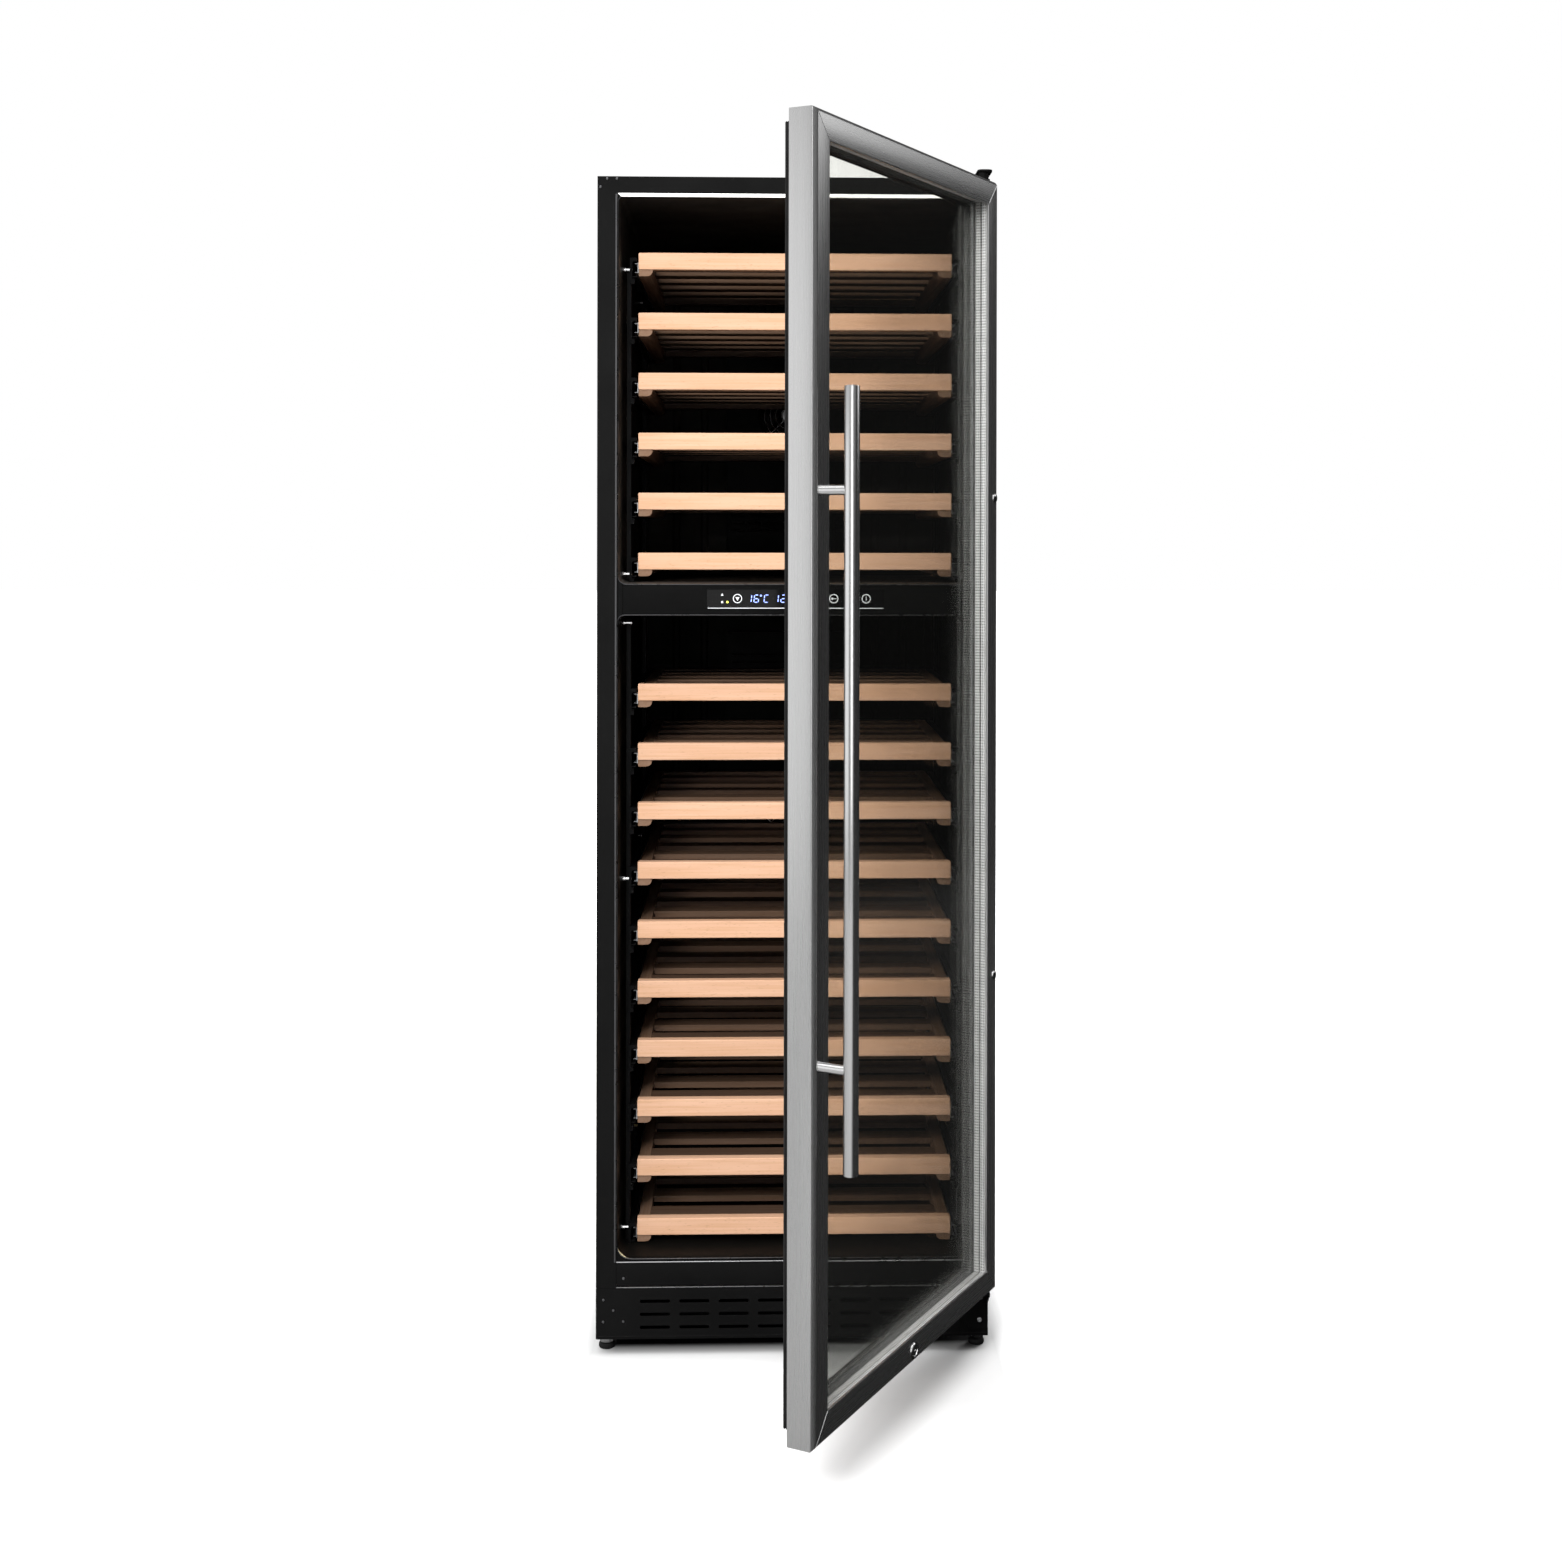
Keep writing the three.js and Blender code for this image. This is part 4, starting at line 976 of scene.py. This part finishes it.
def rotor(body, axis, centre, span, radius):
    """A seven-bladed wheel. Its blades are lofted along the radius, twisting and cambered."""
    hub = radius * 0.36
    near, far = span[0] + 0.3, span[1] - 0.3
    boss = [(hub * 0.7, near), (hub, near + 1.5), (hub, far), (hub * 0.8, far + 0.2)]
    wheel = Shape().turned(axis, boss, centre, 40)
    depth = (far - near) * 0.88
    camber = ((-0.5, 0), (-0.2, 0.08), (0.2, 0.08), (0.5, 0), (0.2, 0.02), (-0.2, 0.02))
    for blade in range(7):
        rings = []
        for step in range(6):
            t = step / 5
            r = hub - 1 + t * (radius - hub + 0.6)
            pitch = math.radians(50 - 22 * t)
            sweep = 2 * math.pi * blade / 7 + 0.35 * t
            chord = depth * (0.95 - 0.1 * t)
            section = []
            for u, v in camber:
                along = (u * math.cos(pitch) + v * math.sin(pitch)) * chord
                around = (u * math.sin(pitch) - v * math.cos(pitch)) * chord + (0.5 if v > 0.05 else -0.5)
                section.append(spot(axis, (near + far) / 2 + along, *polar(centre, r, sweep + around / r)))
            rings.append(section)
        wheel.loft(rings)
    piece(f"{body}_wheel", wheel, MOULDED, body, stands_for=[f"{body}_rotor"])


# ---------------------------------------------------------------- machine compartment
def compressor():
    x, y, (z0, z1) = extent("compressor")
    centre = (sum(x) / 2, sum(y) / 2)
    height = z1 - z0
    profile = [(46, 9), (55, 12), (60, 20), (60, 76), (64, 77), (65.5, 79), (65.5, 82), (64, 84), (60, 85),
               (59, 104), (55, 124), (46, 140), (32, 149), (14, height - 1), (3, height)]
    vessel = Shape().turned("z", [(r, z0 + z) for r, z in profile], centre, 56)
    piece("compressor_vessel", vessel, COAT, stands_for=["compressor"])

    corners = [(centre[0] + across * 66, centre[1] + along * 42) for across in (-1, 1) for along in (-1, 1)]
    holes = [circle(corner, 4, 16) for corner in corners]
    plate = Shape().plate("z", (z0 + 5, z0 + 8), rectangle(x, y, 12), holes)
    piece("compressor_foot_plate", plate, COAT, bevel=0.4)
    waisted = [(8, 0.2), (9, 1), (9, 4), (5, 5), (5, 8), (8, 9), (8, 11), (5, 12)]
    grommets = Shape()
    for corner in corners:
        grommets.turned("z", [(r, z0 + z) for r, z in waisted], corner, 24)
    piece("compressor_grommets", grommets, RUBBER)

    box_x = (centre[0] + 54, centre[0] + 78)
    terminal = Shape().box(box_x, (centre[1] - 26, centre[1] + 26), (z0 + 34, z0 + 96))
    piece("compressor_terminal_box", terminal, MOULDED, bevel=2.5, steps=3)

    start = Vector((centre[0] - 57, centre[1] - 8, z0))
    bends = ((4, 0, 60), (-6, 0, 62), (-14, 0, 72), (-15, -2, 100), (-17, -12, 128), (-30, -34, 138),
             (-90, -52, 140), (-140, -50, 130), (-158, -44, 112), (-164, -32, 102))
    pipes = Shape().pipe(smoothed([start + Vector(bend) for bend in bends]), 3.2, 14)
    stub = [(3.6, z0 + 148), (3.6, z0 + 152), (2, z0 + 153)]
    pipes.turned("z", stub, (centre[0] - 30, centre[1] + 10), 16)
    piece("refrigerant_pipe", pipes, COPPER)


def smoothed(points, steps=5):
    """A Catmull-Rom curve through points."""
    knots = [Vector(point) for point in (points[0], *points, points[-1])]
    path = []
    for a, b, c, d in zip(knots, knots[1:], knots[2:], knots[3:]):
        for step in range(steps):
            t = step / steps
            path.append(0.5 * (2 * b + (c - a) * t + (2 * a - 5 * b + 4 * c - d) * t * t
                               + (3 * b - a - 3 * c + d) * t ** 3))
    return [*path, knots[-1]]


def condenser():
    (x0, x1), (y0, y1), (z0, z1) = extent("condenser")
    fins = Shape()
    count = 40
    tube_rows = [y0 + (y1 - y0) * share for share in (0.2, 0.5, 0.8)]
    tube_levels = [z0 + 18 + index * 22 for index in range(6)]
    for index in range(count):
        x = x0 + 16 + index * (x1 - x0 - 32) / (count - 1)
        fins.box((x - 0.3, x + 0.3), (y0 + 2, y1 - 2), (z0 + 3, z1 - 2))
    piece("condenser_fins", fins, ALUMINIUM, stands_for=["condenser"])
    ends = Shape()
    for x in (x0 + 12, x1 - 13.5):
        ends.box((x, x + 1.5), (y0, y1), (z0, z1))
    piece("condenser_end_plates", ends, ZINC, bevel=0.3)
    tubes = Shape()
    for y in tube_rows:
        for level in tube_levels:
            tubes.rod("x", (x0 + 8, x1 - 8), 4, (y, level), 16)
        for low, high in zip(tube_levels[::2], tube_levels[1::2]):
            tubes.pipe(u_bend(x1 - 8, 1, y, low, high, x1), 4, 14)
        for low, high in zip(tube_levels[1::2], tube_levels[2::2]):
            tubes.pipe(u_bend(x0 + 8, -1, y, low, high, x0), 4, 14)
    piece("condenser_tubes", tubes, COPPER)


def u_bend(x, way, y, low, high, limit):
    middle = (low + high) / 2
    reach = abs(limit - x) - 4
    radius = (high - low) / 2
    return [(x + way * reach * math.sin(a), y, middle - radius * math.cos(a))
            for a in (math.pi * step / 10 for step in range(11))]


def condenser_fan():
    (x0, x1), y, z = extent("condenser_fan_frame")
    rotor_x, rotor_y, rotor_z = extent("condenser_fan_rotor")
    centre = (sum(rotor_y) / 2, sum(rotor_z) / 2)
    radius = (rotor_y[1] - rotor_y[0]) / 2
    bore = radius + 4
    shroud = Shape()
    for span in ((x0, x0 + 3), (x1 - 3, x1)):
        shroud.plate("x", span, rectangle(y, z, 6), [circle(centre, bore, 48)])
    tunnel = [(bore, x0 + 1), (bore + 2, x0 + 1), (bore + 2, x1 - 1), (bore, x1 - 1)]
    shroud.hoop("x", tunnel, centre, 64)
    for spoke in range(3):
        angle = 0.3 + spoke * 2 * math.pi / 3
        shroud.pipe([spot("x", x1 - 4, *polar(centre, r, angle)) for r in (10, radius + 5)], 3, 10)
    shroud.turned("x", [(13, rotor_x[1] + 0.6), (13, x1 - 1.2), (11.5, x1)], centre, 32)
    piece("condenser_fan_shroud", shroud, MOULDED, bevel=0.3, stands_for=["condenser_fan_frame"])
    rotor("condenser_fan", "x", centre, rotor_x, radius)


def power_inlet():
    x, (y0, y1), z = extent("power_inlet")
    ribbed = ((12, 0), (13, 0.4), (13, 2.4), (12.2, 3.2), (9.2, 3.6), (8.6, 4.6), (9, 5), (8, 6), (8.3, 6.5),
              (7.4, 7.4), (7.6, 8))
    profile = [(r, y0 + y) for r, y in ribbed] + [(7, y1), (4.2, y1), (4, y1 - 3)]
    gland = Shape().turned("y", profile, (sum(x) / 2, sum(z) / 2), 36)
    piece("power_inlet_gland", gland, MOULDED, stands_for=["power_inlet"])


# ---------------------------------------------------------------- hinges
def hinges():
    pin = CABINET.inverted() @ Vector(joint("door_swing")["pos_m"]) / MM
    top_hinge((pin.x, pin.y))
    bottom_hinge((pin.x, pin.y))


def top_hinge(pin):
    (x0, x1), (y0, y1), (z0, z1) = extent("top_hinge")
    arm = pin[0] - 9
    floor = z1 - 6
    door_top = floor - 10
    top = Shape().prism("z", (floor, floor + 3), rounded([(x0, 6, 6), (x1, 6, 2), (x1, y1, 4), (x0, y1, 6)]))
    top.prism("z", (floor + 3, z1), rounded([(arm, y0, 8), (x1, y0, 8), (x1, y1, 4), (arm, y1, 4)]))
    top.turned("z", [(6.4, door_top), (7, door_top + 0.5), (7, floor + 3.2)], pin, 36)
    top.turned("z", [(3.4, z0), (4, z0 + 0.8), (4, door_top + 0.4)], pin, 28)
    piece("top_hinge_bracket", top, COAT, bevel=0.4, stands_for=["top_hinge"])

    head = ((4.6, 3), (4.6, 4.6), (3.8, 5.4), (2.2, 5.5), (1.8, 4))
    bolts = Shape()
    for place in ((x0 + 12, 20), (x0 + 12, 48), (x0 + 34, 34)):
        bolts.turned("z", [(r, floor + rise) for r, rise in head], place, 24)
    piece("top_hinge_bolts", bolts, ZINC)


def bottom_hinge(pin):
    (x0, x1), (y0, _), (z0, z1) = extent("bottom_hinge")
    shelf = 99
    arm = pin[0] - 19
    bottom = Shape().prism("y", (-3.3, -0.3), rounded([
        (x0, z0 + 24, 5), (x0 + 24, z0, 5), (x1, z0, 4), (x1, shelf + 3, 1), (x0, shelf + 3, 3)]))
    bottom.prism("z", (shelf, shelf + 3), rounded([(arm, y0, 8), (x1, y0, 8), (x1, -0.4, 0), (arm, -0.4, 0)]))
    for x in (pin[0] - 17, x1 - 2.5):
        bottom.prism("x", (x, x + 2.5), rounded([(-3.2, shelf - 26, 2), (-3.2, shelf, 0), (-36, shelf, 3)]))
    bottom.turned("z", [(7, shelf + 2.8), (7, shelf + 5.6), (6.4, shelf + 6.1)], pin, 36)
    bottom.turned("z", [(4, shelf + 6), (4, z1 - 0.8), (3.4, z1)], pin, 28)
    piece("bottom_hinge_bracket", bottom, COAT, bevel=0.4, stands_for=["bottom_hinge"])
    bolts = Shape()
    for place in ((x0 + 10, 84), (x0 + 38, 50), (x1 - 10, 84)):
        bolts.screw("y", -3.3, -1, place, 3.6)
    piece("bottom_hinge_bolts", bolts, ZINC)


# ---------------------------------------------------------------- door
def door_frame():
    (x0, x1), (y0, y1), (z0, z1) = extent("door_hinge_stile", DOOR)
    wide = extent("door_handle_stile", DOOR)[0][1]
    width = x1 - x0
    lip, wall, pocket, chamfer = 3.7, 3.0, 24.0, 5.5
    back = y1 - lip
    section = rounded([
        (0.1, y0, 0.6), (wall, y0, 0.6), (wall, back - chamfer + 1.5, 1), (chamfer + 2, back, 1),
        (pocket - wall, back, 0), (pocket - wall, y0, 0.4), (pocket, y0, 0.4), (pocket, back, 0),
        (width, back, 0.5), (width, y1, 1.0), (chamfer, y1, 0.9), (0.1, y1 - chamfer, 0.9)], 3)
    low, high = z0 - 0.15, z1 + 0.15
    bars = (
        ("hinge_stile", STEEL_UP, high - low, (0, 0, low), (1, 0, 0), (0, 0, 1)),
        ("handle_stile", STEEL_UP, high - low, (wide, 0, low), (-1, 0, 0), (0, 0, 1)),
        ("top_rail", STEEL_ACROSS, wide, (0, 0, high), (0, 0, -1), (1, 0, 0)),
        ("bottom_rail", STEEL_ACROSS, wide, (0, 0, low), (0, 0, 1), (1, 0, 0)),
    )
    gap = 0.12
    for name, finish, length, corner, inward, along in bars:
        start = Vector(corner) + Vector(along) * gap
        channel = Shape().bar(section, length - 2 * gap, start, inward, along)
        piece(f"{name}_channel", channel, finish, "door", DOOR, stands_for=[f"door_{name}"])

    seams = Shape()
    for corner_x, inner_x in ((0, width), (wide, wide - width)):
        for corner_z, inner_z in ((low, low + width), (high, high - width)):
            ends = [(corner_x + t * (inner_x - corner_x), y1 + 0.02, corner_z + t * (inner_z - corner_z))
                    for t in (0.16, 0.985)]
            seams.pipe(ends, 0.28, 6)
    piece("mitre_seams", seams, CHROME, "door", DOOR)

    plugs = Shape()
    for profile in ([(5.2, z1 + 0.1), (5.2, z1 + 2), (4.2, z1 + 3.2), (1.4, z1 + 3.4)],
                    [(5.2, z0 - 0.1), (5.2, z0 - 1.2), (4.2, z0 - 2), (1.4, z0 - 2.2)]):
        plugs.turned("z", profile, (wide - 17, 16), 28)
    piece("spare_pivot_plugs", plugs, MOULDED, "door", DOOR)


def door_seal():
    frame_width = 38
    x, (y0, y1), z = extent("door_inner_frame", DOOR)
    inner_x = (frame_width, extent("door_handle_stile", DOOR)[0][1] - frame_width)
    inner_z = widened(extent("door_hinge_stile", DOOR)[2], -frame_width)
    lining = Shape().band((x, z), (inner_x, inner_z), [
        (0, y1), (0, y0 + 1), (0.03, y0), (0.3, y0), (0.33, y0 + 1.2), (0.42, y0 + 1.2), (0.45, y0),
        (0.96, y0), (1, y0 + 0.8), (1, y1)])
    piece("door_liner_frame", lining, MOULDED, "door", DOOR, bevel=0.25, stands_for=["door_inner_frame"])

    x, (y0, root), z = extent("door_gasket", DOOR)
    bulge = [
        (0.02, root), (0, root - 1.5), (0.05, root - 2.6), (0, root - 4), (0.04, root - 6), (0.12, y0 + 0.4),
        (0.3, y0), (0.46, y0 + 0.5), (0.5, root - 5.4), (0.56, root - 4.6), (0.64, root - 5.6),
        (0.74, root - 6.4), (0.86, root - 6), (0.96, root - 4), (0.99, root - 1.6), (0.95, root)]
    seal = Shape().band((x, z), (widened(inner_x, -2), widened(inner_z, -2)), bulge)
    piece("magnetic_gasket", seal, RUBBER, "door", DOOR, bevel=0.3, stands_for=["door_gasket"])


def glass_unit():
    for name in ("outer_glass", "middle_glass", "inner_glass"):
        x, y, z = extent(name, DOOR)
        pane = Shape().prism("y", y, rectangle(x, z, 2, 2))
        piece(f"{name}_pane", pane, GLASS, "door", DOOR, bevel=0.3, steps=1, stands_for=[name])
    for name in ("outer_spacer", "inner_spacer"):
        x, (y0, y1), z = extent(name, DOOR)
        inner = (widened(x, -SPACER_DEPTH), widened(z, -SPACER_DEPTH))
        bar = Shape().band((x, z), inner, [
            (0.1, y0), (0.9, y0), (1, y0 + 0.8), (0.97, y0 + 2.2), (0.97, y1 - 2.2), (1, y1 - 0.8), (0.9, y1),
            (0.1, y1), (0, y1 - 0.8), (0, y0 + 0.8)])
        piece(f"{name}_bar", bar, SPACER, "door", DOOR, stands_for=[name])


def handle():
    x, y, (z0, z1) = extent("handle_tube", DOOR)
    axis = (sum(x) / 2, sum(y) / 2)
    radius = (x[1] - x[0]) / 2
    ends = [(radius - 1.2, z0), (radius - 0.3, z0 + 0.3), (radius, z0 + 1.1)]
    profile = ends + [(r, z0 + z1 - z) for r, z in reversed(ends)]
    tube = Shape().turned("z", profile, axis, 72)
    piece("handle_grip", tube, STEEL_ROUND, "door", DOOR, stands_for=["handle_tube"])
    domed = ((radius - 1.5, -0.5), (radius - 1.6, 0.25), (radius - 3, 0.5), (2, 0.6))
    caps = Shape()
    for face, out in ((z0, -1), (z1, 1)):
        caps.turned("z", [(r, face + out * rise) for r, rise in domed], axis, 56)
    piece("handle_end_caps", caps, CHROME, "door", DOOR)
    for name in ("lower", "upper"):
        node = f"handle_post_{name}"
        px, py, pz = extent(node, DOOR)
        centre = (axis[0], sum(pz) / 2)
        width = (px[1] - px[0]) / 2
        profile = [(width + 0.4, py[0] - 0.2), (width + 0.4, py[0] + 0.5), (width, py[0] + 0.8),
                   (width, axis[1] - radius * 0.55)]
        post = Shape().turned("y", profile, centre, 48)
        piece(f"{node}_stem", post, STEEL_ROUND, "door", DOOR, stands_for=[node])


def spare_caps():
    """Chrome buttons over the holes for a handle fitted on the other edge."""
    face = extent("door_hinge_stile", DOOR)[1][1]
    domed = ((6.4, -0.2), (6.4, 0.8), (5.6, 1.7), (3.6, 2.3), (1, 2.5))
    caps = Shape()
    for name in ("lower", "upper"):
        level = sum(extent(f"handle_post_{name}", DOOR)[2]) / 2
        caps.turned("y", [(r, face + rise) for r, rise in domed], (12.6, level), 36)
    piece("spare_handle_caps", caps, CHROME, "door", DOOR)


def lock():
    x, (y0, _), z = extent("lock_plug", DOOR)
    centre = (sum(x) / 2, sum(z) / 2)
    face = extent("door_bottom_rail", DOOR)[1][1]
    ring = ((7.4, -0.6), (11, -0.6), (11, 0.8), (10.2, 1.8), (9, 2), (7.9, 1.5), (7.4, 0.6))
    escutcheon = Shape().hoop("y", [(r, face + rise) for r, rise in ring], centre, 56)
    piece("lock_escutcheon", escutcheon, CHROME, "door", DOOR)
    keyway = rectangle(widened((centre[0],) * 2, 3.6), widened((centre[1],) * 2, 0.8), 0.7, 2)
    plug = Shape().plate("y", (face - 2, face + 0.9), circle(centre, 7.1, 48), [keyway])
    plug.rod("y", (y0, face - 2), 5.8, centre, 36)
    piece("lock_cylinder", plug, CHROME, "lock", DOOR, bevel=0.25, stands_for=["lock_plug"])


# ---------------------------------------------------------------- studio
def studio_floor():
    """White paper. It glows beside, before and beyond the cooler, as in the overlit photo, and bounced and
    mirrored rays find it darker, so that it doesn't wash out the black coat."""
    half = 40
    corners = [(x * half, y * half, 0) for x, y in ((-1, -1), (1, -1), (1, 1), (-1, 1))]
    mesh = bpy.data.meshes.new("studio_floor")
    mesh.from_pydata(corners, [], [(0, 1, 2, 3)])
    floor = placed("studio_floor", mesh)
    made = Nodes("studio_white", Roughness=0.9, Specular_IOR_Level=0.0, Emission_Color=(1, 1, 1, 1))
    path = made.add("ShaderNodeLightPath").outputs
    distance = made.add("ShaderNodeVectorMath", {0: made.place}, operation="LENGTH").outputs["Value"]
    across, along, _ = made.add("ShaderNodeSeparateXYZ", {0: made.place}).outputs
    aside = made.maths("ABSOLUTE", across)

    # Painted shadow: the paper turns nearly black in a box under the cooler.
    lengthways = made.maths("ABSOLUTE", made.maths("SUBTRACT", along, 0.28))
    painted_shadow_under_cooler = made.maths("MULTIPLY", made.span(lengthways, (1, 0), (0.27, 0.31)),
                            made.span(aside, (1, 0), (0.27, 0.3)))
    # Painted shade: the paper is darker near the cooler than far from it.
    paper_painted_darker_near = made.mixed(made.span(distance, (0, 1), (0.8, 4.5)), grey(0.72), grey(0.96))
    paper = made.mixed(painted_shadow_under_cooler, paper_painted_darker_near, grey(0.02))
    scattered = made.mixed(path["Is Diffuse Ray"], paper, grey(0.08))
    # Painted shade: seen through the door glass, the paper is darker.
    behind_glass = made.mixed(made.over(path["Transmission Depth"]), scattered, grey(0.3))
    # Painted reflection: in mirrors, the paper is lit on the side towards the left card.
    side = made.add("ShaderNodeVectorMath", {0: made.place, 1: (-0.92, -0.39, 0.0)}, operation="DOT_PRODUCT")
    card_side_painted_reflection = made.span(side.outputs["Value"], (0, 1), (0.15, 0.45))
    seen_mirrored = made.mixed(card_side_painted_reflection, grey(0.008), grey(0.34))
    made.link(made.mixed(made.over(path["Glossy Depth"]), behind_glass, seen_mirrored), "Base Color")

    near = made.maths("MULTIPLY", made.span(along, (0.5, 0), (-0.1, -0.02)),
                      made.span(across, (1, 0), (-0.08, 0.12)))
    before = made.span(along, (0.5, 0), (-0.7, -0.2))
    beyond = made.span(distance, (0, 1), (0.7, 1.4))
    glow = made.span(aside, (0, 1), (0.305, 0.36))
    for zone in (before, near, beyond):
        glow = made.maths("MAXIMUM", glow, zone)
    bounces = made.maths("ADD", path["Diffuse Depth"], path["Glossy Depth"])
    straight = made.span(bounces, (1, 0), (0.4, 0.6))
    made.link(made.maths("MULTIPLY", glow, straight), "Emission Strength")
    mesh.materials.append(made.material)


def studio_world():
    """White behind the cooler. Bounced rays meet a dark room that brightens upwards and to the left front."""
    world = bpy.data.worlds.new("studio")
    bpy.context.scene.world = world
    world.use_nodes = True
    tree = world.node_tree

    def maths(operation, one, other):
        return add_node(tree, "ShaderNodeMath", {0: one, 1: other}, operation=operation).outputs[0]

    def mixed(factor, one, other):
        return add_node(tree, "ShaderNodeMix", {0: factor, 6: one, 7: other}, data_type="RGBA").outputs[2]

    path = add_node(tree, "ShaderNodeLightPath").outputs
    direction = add_node(tree, "ShaderNodeTexCoord").outputs["Generated"]
    rise = add_node(tree, "ShaderNodeVectorMath", {0: direction, 1: (-0.42, -0.25, 0.87)},
                    operation="DOT_PRODUCT").outputs["Value"]
    ramp = add_node(tree, "ShaderNodeValToRGB", {"Fac": rise})
    for element, position, level in zip(ramp.color_ramp.elements, (0.0, 0.8), (0.010, 0.5)):
        element.position = position
        element.color = (*grey(level), 1)
    bounced = maths("GREATER_THAN", maths("ADD", path["Diffuse Depth"], path["Glossy Depth"]), 0.5)
    through = maths("GREATER_THAN", path["Transmission Depth"], 0.5)
    backdrop = mixed(through, (1, 1, 1, 1), (1.7, 1.7, 1.7, 1))
    seen = mixed(bounced, backdrop, ramp.outputs["Color"])
    tree.links.new(seen, tree.nodes["Background"].inputs["Color"])


def soft_panel(name, at, towards, size, radiance, card=False):
    """A rectangular light, given by how bright it looks. A card is only mirrored, and a lamp never is."""
    light = bpy.data.lights.new(name, "AREA")
    light.shape = "RECTANGLE"
    light.size, light.size_y = size
    light.energy = radiance * math.pi * size[0] * size[1]
    holder = placed(name, light)
    holder.location = at
    holder.rotation_euler = facing(Vector(towards) - Vector(at))
    holder.visible_camera = False
    holder.visible_transmission = False
    holder.visible_diffuse = not card
    holder.visible_glossy = card


def studio_lights():
    sun = bpy.data.lights.new("overhead_softbox", "SUN")
    sun.energy = 1.8
    sun.angle = math.radians(60)
    holder = placed("overhead_softbox", sun)
    holder.rotation_euler = facing((0.1, 0.28, -0.95))
    soft_panel("front_card", (-0.1, -6.0, 2.0), (-0.1, 0, 2.0), (2.5, 4.6), 1.75, card=True)
    soft_panel("left_card", (-4.2, -1.1, 1.3), (-0.5, 0.6, 1.3), (5.4, 2.9), 0.72, card=True)
    soft_panel("rail_card", (4.3, 1.05, 3.68), (0, -0.4, 1.72), (3.0, 2.0), 1.5, card=True)
    soft_panel("back_softbox", (2.9, 3.1, 1.2), (0.1, 0.3, 0.9), (2.0, 1.6), 22)
    soft_panel("key_softbox", (-1.1, -3.6, 2.4), (-0.1, 0, 2.3), (1.0, 0.8), 82)


def studio_camera():
    lens = bpy.data.cameras.new("camera")
    lens.sensor_width = 36
    lens.lens = 45.34
    lens.shift_x = -0.0252
    lens.shift_y = -0.1556
    camera = placed("camera", lens)
    yaw, pitch, roll = -1.771, -0.096, 0.096
    level = Euler((math.radians(90 + pitch), 0, math.radians(yaw))).to_matrix()
    aim = level @ Matrix.Rotation(math.radians(roll), 3, "Z")
    spot_in_room = CABINET @ (Vector((-51.4, -2958.1, 1233.1)) * MM)
    camera.matrix_world = Matrix.Translation(spot_in_room) @ aim.to_4x4()
    bpy.context.scene.camera = camera
    bpy.context.scene.view_settings.view_transform = "Standard"


# ---------------------------------------------------------------- assembly
studio_camera()
studio_floor()
studio_world()
studio_lights()

casing()
face_frame()
highlight_strip()
kick_plate()
base_pan()
feet()
back_panel()
liners()
control_bar()
shelves()
racks()
ducts()
compressor()
condenser()
condenser_fan()
power_inlet()
hinges()
door_frame()
door_seal()
glass_unit()
handle()
spare_caps()
lock()

insulation = frame["nodes"]["insulation"]
insulation.data.materials.clear()
insulation.data.materials.append(FOAM["material"])
